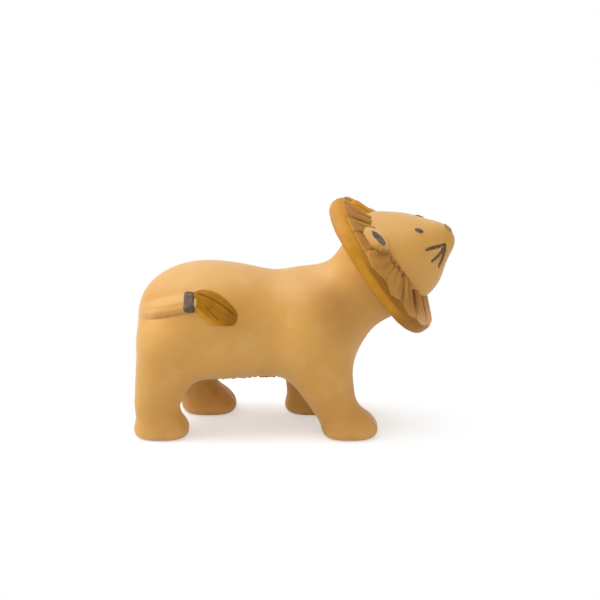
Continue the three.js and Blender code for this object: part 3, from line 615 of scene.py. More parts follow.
def plain_mesh(piece):
    """The plain mesh that a piece's modifiers make; the piece itself goes."""
    bpy.context.view_layer.update()
    graph = bpy.context.evaluated_depsgraph_get()
    mesh = bpy.data.meshes.new_from_object(piece.evaluated_get(graph))
    bpy.data.objects.remove(piece)
    return mesh


def tube_faces(rows, cols, closed=False):
    """The faces of a tube of rings with cols points each. A closed tube's last ring meets its first."""
    faces = []
    for i in range(rows if closed else rows - 1):
        k = (i + 1) % rows
        for j in range(cols):
            m = (j + 1) % cols
            faces.append([i * cols + j, i * cols + m, k * cols + m, k * cols + j])
    return faces


def shell(top, bottom):
    """A closed piece from two grids of points, the upper and the lower side of it."""
    rows, cols = top.shape[:2]
    low = rows * cols
    faces = []
    for i in range(rows - 1):
        for j in range(cols - 1):
            a, b, c, d = i * cols + j, i * cols + j + 1, (i + 1) * cols + j + 1, (i + 1) * cols + j
            faces.append([a, b, c, d])
            faces.append([low + d, low + c, low + b, low + a])
    edge = [j for j in range(cols)]
    edge += [i * cols + cols - 1 for i in range(1, rows)]
    edge += [(rows - 1) * cols + j for j in range(cols - 2, -1, -1)]
    edge += [i * cols for i in range(rows - 2, 0, -1)]
    edge = edge[::-1]
    for a, b in zip(edge, edge[1:] + edge[:1]):
        faces.append([b, a, low + a, low + b])
    return np.concatenate([top.reshape(-1, 3), bottom.reshape(-1, 3)]), faces


def disc_shell(top, bottom):
    """Like shell, for rings about a middle point, which is the first ring."""
    rings, around = top.shape[:2]
    points = [top[0, :1], top[1:].reshape(-1, 3), bottom[0, :1], bottom[1:].reshape(-1, 3)]
    half = 1 + (rings - 1) * around
    faces = []
    for j in range(around):
        k = (j + 1) % around
        faces.append([0, 1 + j, 1 + k])
        faces.append([half, half + 1 + k, half + 1 + j])
        for i in range(rings - 2):
            a, b = 1 + i * around, 1 + (i + 1) * around
            faces.append([a + j, b + j, b + k, a + k])
            faces.append([half + a + k, half + b + k, half + b + j, half + a + j])
        edge = 1 + (rings - 2) * around
        faces.append([edge + k, edge + j, half + edge + j, half + edge + k])
    return np.concatenate(points), faces


# Finishes. Colours are given in plain 8-bit steps.

COLOURS = {
    "honey": (216, 162, 81),
    "deep honey": (201, 144, 62),
    "pale honey, also painted ridge highlight": (232, 186, 116),
    "painted hollow shade": (172, 112, 54),
    "painted top light": (228, 192, 136),
    "shoulder tan": (160, 112, 54),
    "far leg streaks and painted shade": (144, 86, 18),
    "low honey": (188, 132, 66),
    "cheek wash": (158, 108, 46),
    "face seam": (122, 78, 14),
    "gold": (204, 142, 38),
    "dull gold": (184, 124, 28),
    "painted shade on rim front": (146, 96, 24),
    "rim top": (198, 144, 84),
    "rim low": (156, 106, 42),
    "rim lowest": (198, 146, 92),
    "rim back edge": (176, 112, 26),
    "rim patches": (138, 90, 24),
    "tan": (196, 142, 70),
    "deep tan": (176, 123, 54),
    "pale lower locks, partly painted fill light": (228, 178, 122),
    "golden clump": (222, 158, 52),
    "painted shade in strand grooves": (128, 82, 30),
    "painted highlight on lock ridges": (214, 166, 108),
    "painted shade in lock hollows": (104, 64, 22),
    "painted shade in lock gaps": (98, 58, 14),
    "dark grey": (90, 73, 64),
    "grey": (124, 104, 91),
    "rubbed grey": (146, 126, 106),
    "stroke": (96, 76, 58),
    "pale stroke": (122, 94, 64),
    "nose": (172, 124, 68),
    "pale nose": (192, 146, 96),
    "tuft": (176, 120, 18),
    "deep tuft": (158, 104, 14),
    "tuft tip": (146, 96, 20),
    "tuft gold": (220, 154, 34),
    "painted shade in tuft grooves": (112, 68, 10),
    "painted highlight on tuft ridges": (202, 146, 54),
}
SHEEN_TINT = (1, 0.9, 0.74, 1)
RUBBER_SCATTER = (1.0, 0.55, 0.3)


def paint_colour(name):
    def channel(step):
        step /= 255
        return step / 12.92 if step <= 0.04045 else ((step + 0.055) / 1.055) ** 2.4

    return (*map(channel, COLOURS[name]), 1)


class Finish:
    """A procedural finish. Its colour grows layer by layer; most calls add a node and give its result."""

    def __init__(self, name, roughness, sheen=0.0, subsurface=0.0, specular=0.15):
        self.material = bpy.data.materials.new(name)
        self.material.use_nodes = True
        self.tree = self.material.node_tree
        self.shader = self.tree.nodes["Principled BSDF"]
        self.shader.inputs["Roughness"].default_value = roughness
        self.shader.inputs["Specular IOR Level"].default_value = specular
        if sheen:
            self.shader.inputs["Sheen Weight"].default_value = sheen
            self.shader.inputs["Sheen Roughness"].default_value = 0.45
            self.shader.inputs["Sheen Tint"].default_value = SHEEN_TINT
        if subsurface:
            self.shader.inputs["Subsurface Weight"].default_value = subsurface
            self.shader.inputs["Subsurface Radius"].default_value = RUBBER_SCATTER
            self.shader.inputs["Subsurface Scale"].default_value = 0.0015
        self.place = self.add("ShaderNodeTexCoord").outputs["Object"]
        self.colour = None

    def add(self, kind, **values):
        node = self.tree.nodes.new(kind)
        for key, value in values.items():
            setattr(node, key, value)
        return node

    def give(self, slot, value):
        if isinstance(value, bpy.types.NodeSocket):
            self.tree.links.new(value, slot)
        else:
            slot.default_value = value

    def stretched(self, scale):
        node = self.add("ShaderNodeMapping")
        self.give(node.inputs["Vector"], self.place)
        node.inputs["Scale"].default_value = scale
        return node.outputs[0]

    def noise(self, scale, detail=3.0, rough=0.5, place=None, warp=0.0):
        node = self.add("ShaderNodeTexNoise")
        self.give(node.inputs["Vector"], place or self.place)
        for key, number in (("Scale", scale), ("Detail", detail), ("Roughness", rough), ("Distortion", warp)):
            node.inputs[key].default_value = number
        return node.outputs["Fac"]

    def span(self, value, low, high, out_low=0.0, out_high=1.0):
        node = self.add("ShaderNodeMapRange", interpolation_type="SMOOTHSTEP")
        self.give(node.inputs["Value"], value)
        for key, number in (("From Min", low), ("From Max", high), ("To Min", out_low), ("To Max", out_high)):
            node.inputs[key].default_value = number
        return node.outputs["Result"]

    def product(self, a, b):
        node = self.add("ShaderNodeMath", operation="MULTIPLY")
        self.give(node.inputs[0], a)
        self.give(node.inputs[1], b)
        return node.outputs[0]

    def between(self, share, a, b):
        node = self.add("ShaderNodeMix", data_type="RGBA")
        self.give(node.inputs["Factor"], share)
        self.give(node.inputs[6], a)
        self.give(node.inputs[7], b)
        return node.outputs[2]

    def first(self, colour, other, share):
        """The lowest layer: a colour that changes to another one by a share."""
        self.colour = self.between(share, paint_colour(colour), paint_colour(other))

    def over(self, colour, share, most=1.0):
        """One more layer of colour: its share at each place, out of the most that it ever shows."""
        self.colour = self.between(self.product(share, most), self.colour, paint_colour(colour))

    def mark(self, key):
        return self.add("ShaderNodeAttribute", attribute_name=key).outputs["Fac"]

    def vector(self, operation, a, b=(0, 0, 0)):
        node = self.add("ShaderNodeVectorMath", operation=operation)
        self.give(node.inputs[0], a)
        node.inputs[1].default_value = b
        return node.outputs["Value" if operation == "LENGTH" else "Vector"]

    def ball(self, middle, radii):
        """1 at a middle, in metres, falling softly to 0 at the radii."""
        off = self.vector("DIVIDE", self.vector("SUBTRACT", self.place, middle), radii)
        return self.span(self.vector("LENGTH", off), 0.15, 1.0, 1.0, 0.0)

    def upward(self, vector):
        split = self.add("ShaderNodeSeparateXYZ")
        self.give(split.inputs[0], vector)
        return split.outputs["Z"]

    def bump(self, height, strength, distance, under=None):
        node = self.add("ShaderNodeBump")
        node.inputs["Strength"].default_value = strength
        node.inputs["Distance"].default_value = distance
        self.give(node.inputs["Height"], height)
        if under is not None:
            self.give(node.inputs["Normal"], under)
        return node.outputs[0]

    def finished(self, grain, roughness=None):
        """The material, with the rubber's fine grain over its soft unevenness."""
        soft = self.bump(self.noise(260, 3, 0.5), 0.25, 0.0002)
        self.give(self.shader.inputs["Normal"], self.bump(self.noise(2600, 4, 0.6), grain, 0.00008, soft))
        self.give(self.shader.inputs["Base Color"], self.colour)
        if roughness is not None:
            self.give(self.shader.inputs["Roughness"], roughness)
        return self.material


def honey_rubber(name):
    """Bare rubber, softly mottled, with painted shade in hollows, painted highlights on ridges and on what
    faces up.
    """
    f = Finish(name, 0.56, sheen=0.36, subsurface=0.12, specular=0.35)
    f.first("honey", "deep honey", f.span(f.noise(38, 3, 0.5), 0.3, 0.75, 0.0, 0.55))
    f.over("pale honey, also painted ridge highlight", f.span(f.noise(95, 2, 0.5), 0.5, 0.8), 0.3)
    # Painted shade: darker in the hollows and creases of the skin.
    f.over("painted hollow shade", f.span(f.mark("hollow"), 0.03, 0.22), 0.75)
    # Painted highlight: paler on the ridges of the skin.
    f.over("pale honey, also painted ridge highlight", f.span(f.mark("hollow"), -0.03, -0.2), 0.5)
    # Painted top light: paler on what faces up, where the light falls.
    facing = f.upward(f.add("ShaderNodeNewGeometry").outputs["Normal"])
    f.over("painted top light", f.span(facing, 0.45, 1.0), 0.26)
    return f


def handled(f):
    """The honey rubber's material, duller and glossier in patches where hands have rubbed it."""
    return f.finished(0.12, f.span(f.noise(420, 4, 0.6), 0.35, 0.7, 0.5, 0.62))


def body_finish():
    f = honey_rubber("honey rubber")
    f.over("shoulder tan", f.ball((0.0155, -0.018, 0.049), (0.019, 0.014, 0.02)), 0.3)
    # Brown streaks on the far rear leg, which also darken it as painted shade where it stands in shadow.
    streaks = f.span(f.noise(420, 3, 0.6, f.stretched((1, 1, 0.16))), 0.35, 0.7, 0.2, 0.65)
    f.over("far leg streaks and painted shade", f.product(f.ball((-0.033, 0.013, 0.006), (0.017, 0.011, 0.02)), streaks))
    f.over("low honey", f.span(f.upward(f.place), 0.034, 0.002), 0.22)
    return handled(f)


def head_finish():
    f = honey_rubber("honey rubber face")
    # Darker brown between the middle and the lowest whisker.
    f.over("cheek wash", f.mark("wash"), 0.6)
    f.over("face seam", f.product(f.mark("seam"), f.span(f.noise(420, 3, 0.6), 0.4, 0.6, 0.35, 0.95)))
    return handled(f)


def rim_finish():
    f = Finish("ochre paint", 0.6, subsurface=0.04)
    side, height = f.mark("flank"), f.mark("height")
    f.first("gold", "dull gold", f.span(f.noise(90, 4, 0.6, f.place, 0.4), 0.3, 0.75))
    # Painted shade: darker on the rim's front flank, which faces down and forward.
    f.over("painted shade on rim front", f.product(f.span(side, 0.05, 0.4), f.span(height, 0.55, 0.2)), 0.9)
    f.over("rim top", f.product(f.span(height, 0.5, 0.95), f.span(side, 0.9, -0.6)), 0.7)
    f.over("rim low", f.span(height, -0.28, -0.62), 0.8)
    f.over("rim lowest", f.span(height, -0.76, -0.96), 0.6)
    f.over("rim back edge", f.product(f.span(side, -0.9, -1.3), f.span(height, 0.5, 0.0)), 0.6)
    f.over("rim patches", f.span(f.noise(160, 3, 0.6), 0.56, 0.72), 0.3)
    return f.finished(0.2)


def lock_finish():
    f = Finish("tan paint", 0.62, subsurface=0.04)
    f.first("tan", "deep tan", f.span(f.noise(70, 3, 0.5), 0.3, 0.7))
    # Paler towards the bottom: the lower locks' pinkish-tan paint, and partly painted fill light as well.
    f.over("pale lower locks, partly painted fill light", f.span(f.mark("height"), -0.5, -0.85), 0.8)
    f.over("golden clump", f.mark("golden"), 0.75)
    # Painted shade along the grooves between the strands.
    f.over("painted shade in strand grooves", f.mark("line"), 0.5)
    # Painted highlights on the ridges of the locks and painted shade in their hollows.
    f.over("painted highlight on lock ridges", f.span(f.mark("hollow"), -0.03, -0.2), 0.75)
    f.over("painted shade in lock hollows", f.span(f.mark("hollow"), 0.04, 0.24), 0.8)
    # Painted shade in the gaps between the locks.
    f.over("painted shade in lock gaps", f.mark("gap"), 0.75)
    return f.finished(0.2)


def grey_finish():
    f = Finish("grey paint", 0.5)
    f.first("dark grey", "grey", f.span(f.noise(520, 4, 0.6), 0.35, 0.7))
    f.over("rubbed grey", f.span(f.noise(1400, 3, 0.6), 0.62, 0.72), 0.5)
    return f.finished(0.25)


def whisker_finish():
    f = Finish("grey stroke paint", 0.55)
    f.first("stroke", "pale stroke", f.span(f.noise(700, 4, 0.6), 0.35, 0.7))
    return f.finished(0.25)


def nose_finish():
    f = Finish("nose paint", 0.55)
    f.first("nose", "pale nose", f.span(f.noise(600, 4, 0.6), 0.35, 0.7))
    return f.finished(0.25)


def tuft_finish():
    f = Finish("tuft paint", 0.58, subsurface=0.03)
    along = f.mark("along")
    f.first("tuft", "deep tuft", f.span(f.noise(160, 3, 0.6), 0.3, 0.7))
    f.over("tuft tip", f.span(along, 0.25, 0.95), 0.6)
    f.over("tuft gold", f.product(f.span(f.mark("across"), -0.35, -0.95), f.span(along, 0.75, 0.3)), 0.85)
    # Painted shade in the tuft's grooves and painted highlights on its ridges.
    f.over("painted shade in tuft grooves", f.span(f.mark("hollow"), 0.01, 0.12), 0.7)
    f.over("painted highlight on tuft ridges", f.span(f.mark("hollow"), -0.02, -0.1), 0.35)
    return f.finished(0.2)


def seen_straight(tree):
    """1 for what the camera sees straight, in a gloss or through glass, 0 for the light on the toy."""
    path = tree.nodes.new("ShaderNodeLightPath")
    seen = path.outputs["Is Camera Ray"]
    for key in ("Is Glossy Ray", "Is Transmission Ray"):
        most = tree.nodes.new("ShaderNodeMath")
        most.operation = "MAXIMUM"
        tree.links.new(seen, most.inputs[0])
        tree.links.new(path.outputs[key], most.inputs[1])
        seen = most.outputs[0]
    return seen


FLOOR_COLOUR = (0.75, 0.78, 0.81, 1)
FLOOR_GLOW = 0.44
FLOOR_MIDDLE = (-0.012, 0, 0)
FLOOR_FADE = (0.032, 0.085)


def floor_finish():
    """A pale floor that keeps the toy's shadow and turns plain white away from it."""
    f = Finish("pale floor", 0.9, specular=0.1)
    f.shader.inputs["Base Color"].default_value = FLOOR_COLOUR
    seen = seen_straight(f.tree)
    glow, white = f.add("ShaderNodeEmission"), f.add("ShaderNodeEmission")
    f.give(glow.inputs["Strength"], f.product(seen, FLOOR_GLOW))
    near, whole = f.add("ShaderNodeAddShader"), f.add("ShaderNodeMixShader")
    f.give(near.inputs[0], f.shader.outputs[0])
    f.give(near.inputs[1], glow.outputs[0])
    reach = f.vector("LENGTH", f.vector("SUBTRACT", f.place, FLOOR_MIDDLE))
    f.give(whole.inputs["Fac"], f.product(f.span(reach, *FLOOR_FADE), seen))
    f.give(whole.inputs[1], near.outputs[0])
    f.give(whole.inputs[2], white.outputs[0])
    f.give(f.tree.nodes["Material Output"].inputs["Surface"], whole.outputs[0])
    return f.material


# The moulded body and head.

BODY_STEP = 0.52
BODY_REACH = {"beside": 26, "under": 1.2, "past neck": 14, "above neck": 17}
HEAD_STEP = 0.27
HEAD_REACH = ((3.9, -25.5, -22.5), (31.5, 25.5, 25.5))


def body_piece():
    back = cad_box[0][0] / MM - 1.5
    low = (back, -BODY_REACH["beside"], -BODY_REACH["under"])
    high = (
        MANE_CENTRE[0] + BODY_REACH["past neck"],
        BODY_REACH["beside"],
        MANE_CENTRE[2] + BODY_REACH["above neck"],
    )
    points, faces = skin(body_field, low, high, BODY_STEP)
    points[:, 2] = np.maximum(points[:, 2], 0)
    return mesh_piece("rubber_body", points, faces)


def head_piece():
    points, faces = skin(head_field, *HEAD_REACH, HEAD_STEP)
    piece = mesh_piece("head_skin", from_head(points), faces)
    brushed = [np.array([cheek(*place, side) for place in WHISKER_TINT_LINE]) for side in (-1, 1)]
    set_attribute(piece, "wash", sum(bell(near_line(points, line), 1.0) for line in brushed))
    turn = np.abs(np.arctan2(points[:, 1], points[:, 2]))
    seam = smooth(9.3, 8.6, points[:, 0]) * smooth(1.0, 1.2, turn) * smooth(2.4, 1.7, turn)
    set_attribute(piece, "seam", seam)
    return piece


# Paint on the head.

PAINT_RISE = 0.09
PAINT_ROOT = 0.35
WHISKER_PAINT = {"half": 0.575, "rise": 0.07, "sunk": 0.03, "root": 0.3}


def paint_patch(name, middle, axes, outline, edge, rings=10, around=48, cast=0.0):
    """A spot of paint on the head, closed underneath: rings of points from a middle out to an outline.

    The paint is laid straight along the first axis from as far off as cast says, or settled on the skin."""
    turns = np.linspace(0, 2 * np.pi, around, endpoint=False)
    shares = np.linspace(0, 1, rings + 1)
    flat = shares[:, None, None] * np.stack(outline(turns), -1)[None]
    place = middle + flat[..., :1] * axes[1] + flat[..., 1:] * axes[2]
    if cast:
        place = seat_on(head_field, place + cast * axes[0], place - cast * axes[0])
    on_skin, normal = settle(head_field, place, 0 if cast else 5)
    lift = (PAINT_RISE * (1 - shares ** 6) - edge * shares ** 6)[:, None, None]
    points, faces = disc_shell(on_skin + normal * lift, on_skin - normal * PAINT_ROOT)
    return outward(mesh_piece(name, from_head(points), faces))


def eye_outline(t):
    return EYE_RADII[0] * np.cos(t), (EYE_RADII[1] - 0.08 * np.cos(t)) * np.sin(t)


def nose_outline(t):
    return (2.85 + 0.1 * np.cos(3 * t)) * np.cos(t), (1.9 + 0.12 * np.sin(2 * t + 1)) * np.sin(t)


def ear_outline(side):
    """The uneven edge of the paint in an ear's hollow, a little different on each side."""
    wobble = 0.5 + side

    def outline(t):
        along = 4.15 + 0.15 * np.sin(5 * t + wobble) + 0.1 * np.sin(9 * t)
        across = 2.15 + 0.15 * np.sin(4 * t) + 0.12 * np.cos(7 * t + wobble)
        return along * np.cos(t), across * np.sin(t)

    return outline


def whisker_piece(piece_name, side, name):
    """A brushed stroke on the bottom of its groove, thin at both ends."""
    line = WHISKER_LINES[side, name]
    u, v = np.linspace(0, 1, len(line)), np.linspace(-1, 1, 7)
    on_skin, normal = settle(head_field, line)
    across = np.cross(normal, np.gradient(on_skin, axis=0))
    across /= np.linalg.norm(across, axis=1, keepdims=True)
    swell = 0.5 + 0.5 * np.sin(np.pi * np.clip(0.12 + 0.8 * u, 0, 1))
    half = WHISKER_WIDTHS[name] * WHISKER_PAINT["half"] * swell
    place = on_skin[:, None] + across[:, None] * (half[:, None] * v[None])[..., None]
    on_skin, normal = settle(head_field, place, 4)
    ends = np.minimum(1, 9 * np.minimum(u, 1 - u))[:, None]
    lift = WHISKER_PAINT["rise"] * (1 - v ** 4)[None] * ends - WHISKER_PAINT["sunk"] * (1 - ends)
    points, faces = shell(on_skin + normal * lift[..., None], on_skin - normal * WHISKER_PAINT["root"])
    return outward(mesh_piece(piece_name, from_head(points), faces))


def painted_pieces():
    """All the paint on the head, by the node that each piece stands for."""
    painted = {}
    for side, hand in ((-1, "right"), (1, "left")):
        painted[f"{hand}_eye"] = paint_patch(f"{hand}_eye_paint", *EYE_FRAMES[side], eye_outline, 0.05)
        centre, axes = ear_frame(side)
        bowl = centre + np.array(EAR_BOWL["middle"]) @ axes
        painted[f"{hand}_ear_lining"] = paint_patch(
            f"{hand}_ear_paint", bowl, axes, ear_outline(side), 0.06, rings=14, around=72, cast=3.5
        )
        for name in WHISKERS:
            node = f"{hand}_{name}_whisker"
            painted[node] = whisker_piece(f"{node}_paint", side, name)
    painted["nose"] = paint_patch(
        "nose_paint", NOSE_MIDDLE, NOSE_AXES, nose_outline, 0.06, rings=16, around=72
    )
    return painted


# The mane's round rim.

RIM_TURNS = 240
RIM_HALF = MANE_THICKNESS / 2
RIM_HOLE = 12
# The rim is round at its top and ridged further down: how square its back and front are, and its ridge.
RIM_ROUND = (2.0, 2.0, 0.0)
RIM_RIDGED = (1.75, 5.0, 0.2)
RIM_CHANGE = (math.radians(50), math.radians(85))


def rim_profile(back, front, ridge):
    """The rim's section, as radius and place ahead: its back or front is round at 2 and squarer above."""
    arc = np.linspace(-math.pi / 2, math.pi / 2, 41)[1:]
    square = np.where(arc < 0, back, front)
    swell = (np.abs(np.cos(arc)) ** square + np.abs(np.sin(arc)) ** square) ** (-1 / square)
    inner = MANE_RADIUS - RIM_HALF
    line = [(r, -RIM_HALF) for r in np.linspace(RIM_HOLE, inner, 10)]
    line += [
        (inner + RIM_HALF * k * math.cos(a), RIM_HALF * k * math.sin(a) + ridge * math.cos(a))
        for a, k in zip(arc, swell)
    ]
    line += [(r, RIM_HALF) for r in np.linspace(inner, RIM_HOLE, 10)[1:]]
    return np.array(line)


def rim_piece():
    """The disc's rim, a little uneven as if formed by hand."""
    turns = np.linspace(0, 2 * np.pi, RIM_TURNS, endpoint=False)[:, None]
    from_top = np.abs(np.mod(turns + math.pi, 2 * math.pi) - math.pi)
    ridged = smooth(*RIM_CHANGE, from_top)[..., None]
    section = rim_profile(*RIM_ROUND) * (1 - ridged) + rim_profile(*RIM_RIDGED) * ridged
    share = np.linspace(0, 1, section.shape[1])[None]
    wave = 0.15 * smooth(0.7, 1, np.cos(turns)) - 0.2 * np.sin(turns) ** 8
    for height, count, start, slant in ((0.09, 5, 1.1, 3), (0.07, 11, 2.3, -5), (0.05, 23, 0.4, 9)):
        wave = wave + height * np.sin(count * turns + start + slant * share)
    outer = smooth(MANE_RADIUS - 6, MANE_RADIUS - 1, section[..., 0])
    radius = section[..., 0] + wave * outer
    ahead = section[..., 1] + 0.6 * wave * outer * np.sign(section[..., 1])
    ahead = ahead - 0.5 * smooth(0.5, 0.9, np.cos(turns)) * smooth(0.5, -1, section[..., 1])
    points = np.stack([ahead, radius * np.sin(turns), radius * np.cos(turns)], -1)
    faces = tube_faces(*points.shape[:2], closed=True)
    piece = outward(mesh_piece("mane_rim", from_head(points.reshape(-1, 3)), faces))
    inner = MANE_RADIUS - RIM_HALF
    set_attribute(piece, "flank", np.arctan2(section[..., 1], np.maximum(section[..., 0] - inner, 0.01)))
    set_attribute(piece, "height", points[..., 2] / MANE_RADIUS)
    return piece


# The mane's locks, from the top of the ring down to the lowest: the turn of root and tip and half the width
# in degrees from the top, then the tip's radius and the height in millimetres, how much of the height is lost
# towards the tip, and how much of the lock's place it fills. All but the first and the last come in pairs.
LOCKS = [
    (0.0, 0.0, 7.2, 27.4, 0.8, 0.6, 0.96),
    (-18.6, -17.8, 10.2, 27.9, 2.0, 0.8, 0.95),
    (-37.4, -36.4, 8.0, 28.1, 1.9, 0.8, 0.95),
    (-54.0, -53.0, 8.2, 28.3, 0.7, 0.6, 0.97),
    (-75.6, -75.4, 12.6, 29.2, 0.95, 0.4, 1.02),
    (-96.6, -99.6, 9.6, 29.2, 0.95, 0.4, 1.02),
    (-115.3, -122.3, 10.6, 29.3, 1.4, 0.5, 0.985),
    (-139.0, -144.6, 12.2, 29.2, 1.8, 0.5, 0.975),
    (-158.9, -163.8, 7.6, 29.1, 1.9, 0.5, 0.97),
    (-180.0, -180.0, 11.4, 28.9, 1.8, 0.5, 0.97),
]
# One more clump stands up just left of the top: turn, half width, tip radius, height, loss and fill.
TOP_CLUMP = (6.5, 6.0, 26.0, 2.5, 0.1, 1.0)
LOCK_KEYS = ("root", "tip", "half", "radius", "height", "fall", "fill", "tilt", "comb")
LOCK_ROOT_RADIUS = 16.4
LOCK_SWEEP_POWER = 1.3
LOCK_STRANDS = 7.0
LOCK_TILT = 0.3
LEAF_STEPS = 44
HAIR_VOXEL = 0.27
BED_EDGE = 28.75
BED_HOLE = 13
BED_BACK = 2.2
BED_TURNS = 128


def each_lock():
    """The sizes of every lock on both sides, in the order of LOCK_KEYS."""
    rows = []
    for number, (root, tip, half, *sizes) in enumerate(LOCKS):
        for side in (1, -1) if 0 < number < len(LOCKS) - 1 else (1,):
            turns = (math.radians(side * root), math.radians(side * tip), math.radians(half))
            rows.append((*turns, *sizes, LOCK_TILT * side, 1.3 * number + side))
    turn, half, *sizes = TOP_CLUMP
    rows.append((math.radians(turn), math.radians(turn), math.radians(half), *sizes, 0.0, 0.5))
    return rows


def lock_seeds():
    """One point for each lock, with its own sizes as attributes."""
    rows = each_lock()
    seeds = bpy.data.meshes.new("lock seeds")
    seeds.from_pydata([(0, 0, 0)] * len(rows), [], [])
    for key, values in zip(LOCK_KEYS, zip(*rows)):
        seeds.attributes.new(key, "FLOAT", "POINT").data.foreach_set("value", values)
    return seeds


def place_in_lock(turn, radius):
    """How places on the ring lie in their lock: across it (-1 to 1), along it (0 to 1) and on its strands."""
    across, along, strand = np.full(len(turn), 9.0), np.zeros(len(turn)), np.zeros(len(turn))
    for root, tip, half, reach, *_, comb in each_lock()[:-1]:
        u = np.clip((radius - LOCK_ROOT_RADIUS) / (reach - LOCK_ROOT_RADIUS), 0, 1)
        off = turn - root - (tip - root) * u ** LOCK_SWEEP_POWER
        off = (np.mod(off + math.pi, 2 * math.pi) - math.pi) / half
        mine = np.abs(off) < np.abs(across)
        across, along = np.where(mine, off, across), np.where(mine, u, along)
        strand = np.where(mine, np.cos(off * LOCK_STRANDS + comb), strand)
    return across, along, strand


class Sum:
    """A number in a node tree, with the plain signs of arithmetic."""

    def __init__(self, tree, socket):
        self.tree, self.socket = tree, socket

    def do(self, operation, *others):
        node = self.tree.nodes.new("ShaderNodeMath")
        node.operation = operation
        for slot, value in zip(node.inputs, (self, *others)):
            if isinstance(value, Sum):
                self.tree.links.new(value.socket, slot)
            else:
                slot.default_value = value
        return Sum(self.tree, node.outputs[0])

    def __add__(self, other):
        return self.do("ADD", other)

    def __sub__(self, other):
        return self.do("SUBTRACT", other)

    def __mul__(self, other):
        return self.do("MULTIPLY", other)

    def __rsub__(self, other):
        return self.do("MULTIPLY", -1).do("ADD", other)


def lock_tree():
    """Locks of hair on a cone round the head: one leaf on each seed, bent by the seed's own sizes."""
    tree = bpy.data.node_groups.new("mane locks", "GeometryNodeTree")
    add = tree.nodes.new
    link = tree.links.new
    sizes = {
        "Root radius": LOCK_ROOT_RADIUS,
        "Bed front": LOCK_BED_FRONT,
        "Bed slope": BED_SLOPE,
        "Depth": 1.3,
        "Strands": LOCK_STRANDS,
        "Strand depth": 0.17,
    }
    tree.interface.new_socket("Seeds", in_out="INPUT", socket_type="NodeSocketGeometry")
    for key, value in sizes.items():
        tree.interface.new_socket(key, in_out="INPUT", socket_type="NodeSocketFloat").default_value = value
    tree.interface.new_socket("Material", in_out="INPUT", socket_type="NodeSocketMaterial")
    tree.interface.new_socket("Geometry", in_out="OUTPUT", socket_type="NodeSocketGeometry")
    given = add("NodeGroupInput")
    size = {key: Sum(tree, given.outputs[key]) for key in sizes}

    def seed(key):
        named = add("GeometryNodeInputNamedAttribute")
        named.data_type = "FLOAT"
        named.inputs["Name"].default_value = key
        return Sum(tree, named.outputs["Attribute"])

    leaf = add("GeometryNodeMeshCylinder")
    for key, value in (("Vertices", LEAF_STEPS), ("Side Segments", LEAF_STEPS), ("Radius", 1), ("Depth", 1)):
        leaf.inputs[key].default_value = value
    copies = add("GeometryNodeInstanceOnPoints")
    link(given.outputs["Seeds"], copies.inputs["Points"])
    link(leaf.outputs["Mesh"], copies.inputs["Instance"])
    real = add("GeometryNodeRealizeInstances")
    link(copies.outputs["Instances"], real.inputs["Geometry"])
    split = add("ShaderNodeSeparateXYZ")
    link(add("GeometryNodeInputPosition").outputs["Position"], split.inputs[0])
    across, up = Sum(tree, split.outputs["X"]), Sum(tree, split.outputs["Y"])
    u = (Sum(tree, split.outputs["Z"]) + 0.5).do("MAXIMUM", 0.0).do("MINIMUM", 1.0)

    radius = size["Root radius"] + (seed("radius") - size["Root radius"]) * u
    angle = seed("root") + (seed("tip") - seed("root")) * u.do("POWER", LOCK_SWEEP_POWER)
    end = (1 - u.do("POWER", 13)).do("MAXIMUM", 0.0).do("POWER", 0.5)
    beside = across * radius * seed("half") * seed("fill") * end
    crown = up.do("MAXIMUM", 0.0).do("POWER", 0.55)
    under = (up * -1).do("MAXIMUM", 0.0) * size["Depth"]
    strands = ((across * size["Strands"] + seed("comb")).do("COSINE") - 1) * size["Strand depth"]
    height = seed("height") * (1 - u * seed("fall")) * (end * 0.5 + 0.5)
    bed = size["Bed front"] - (radius - BROW["radius"]).do("MAXIMUM", 0.0) * size["Bed slope"]
    level = bed - 0.25 + crown * height * (strands + 1 + seed("tilt") * across) - under
    sine, cosine = angle.do("SINE"), angle.do("COSINE")
    join = add("ShaderNodeCombineXYZ")
    link(level.socket, join.inputs["X"])
    link((radius * sine + beside * cosine).socket, join.inputs["Y"])
    link((radius * cosine - beside * sine).socket, join.inputs["Z"])
    bent_leaves = add("GeometryNodeSetPosition")
    link(real.outputs["Geometry"], bent_leaves.inputs["Geometry"])
    link(join.outputs[0], bent_leaves.inputs["Position"])
    paint = add("GeometryNodeSetMaterial")
    link(bent_leaves.outputs["Geometry"], paint.inputs["Geometry"])
    link(given.outputs["Material"], paint.inputs["Material"])
    link(paint.outputs["Geometry"], add("NodeGroupOutput").inputs["Geometry"])
    return tree, sizes


def grown_locks(material):
    """The locks' points, in the head's frame, and their faces, as the node tree makes them from the seeds."""
    tree, sizes = lock_tree()
    values = {**sizes, "Material": material}
    base = bpy.data.objects.new("locks", lock_seeds())
    bpy.context.scene.collection.objects.link(base)
    modifier = base.modifiers.new("grow", "NODES")
    modifier.node_group = tree
    for item in tree.interface.items_tree:
        if item.in_out == "INPUT" and item.name in values:
            modifier[item.identifier] = values[item.name]
    mesh = plain_mesh(base)
    return corners_of(mesh), [list(p.vertices) for p in mesh.polygons]


def lock_bed():
    """The bed that the locks grow from: a cone turned on the head's axis, as points and faces."""
    level = LOCK_BED_FRONT - (BED_EDGE - BROW["radius"]) * BED_SLOPE
    section = [(BED_HOLE, BED_BACK), (BED_EDGE - 0.9, BED_BACK), (BED_EDGE, level - 0.8)]
    section += [(BED_EDGE - 0.35, level - 0.1), (BED_EDGE - 4, level + 1.05)]
    section += [(BROW["radius"], LOCK_BED_FRONT - 0.6), (BED_HOLE, LOCK_BED_FRONT - 0.6)]
    turns = np.linspace(0, 2 * np.pi, BED_TURNS, endpoint=False)
    points = [[ahead, r * math.sin(a), r * math.cos(a)] for a in turns for r, ahead in section]
    return np.array(points), tube_faces(BED_TURNS, len(section), closed=True)


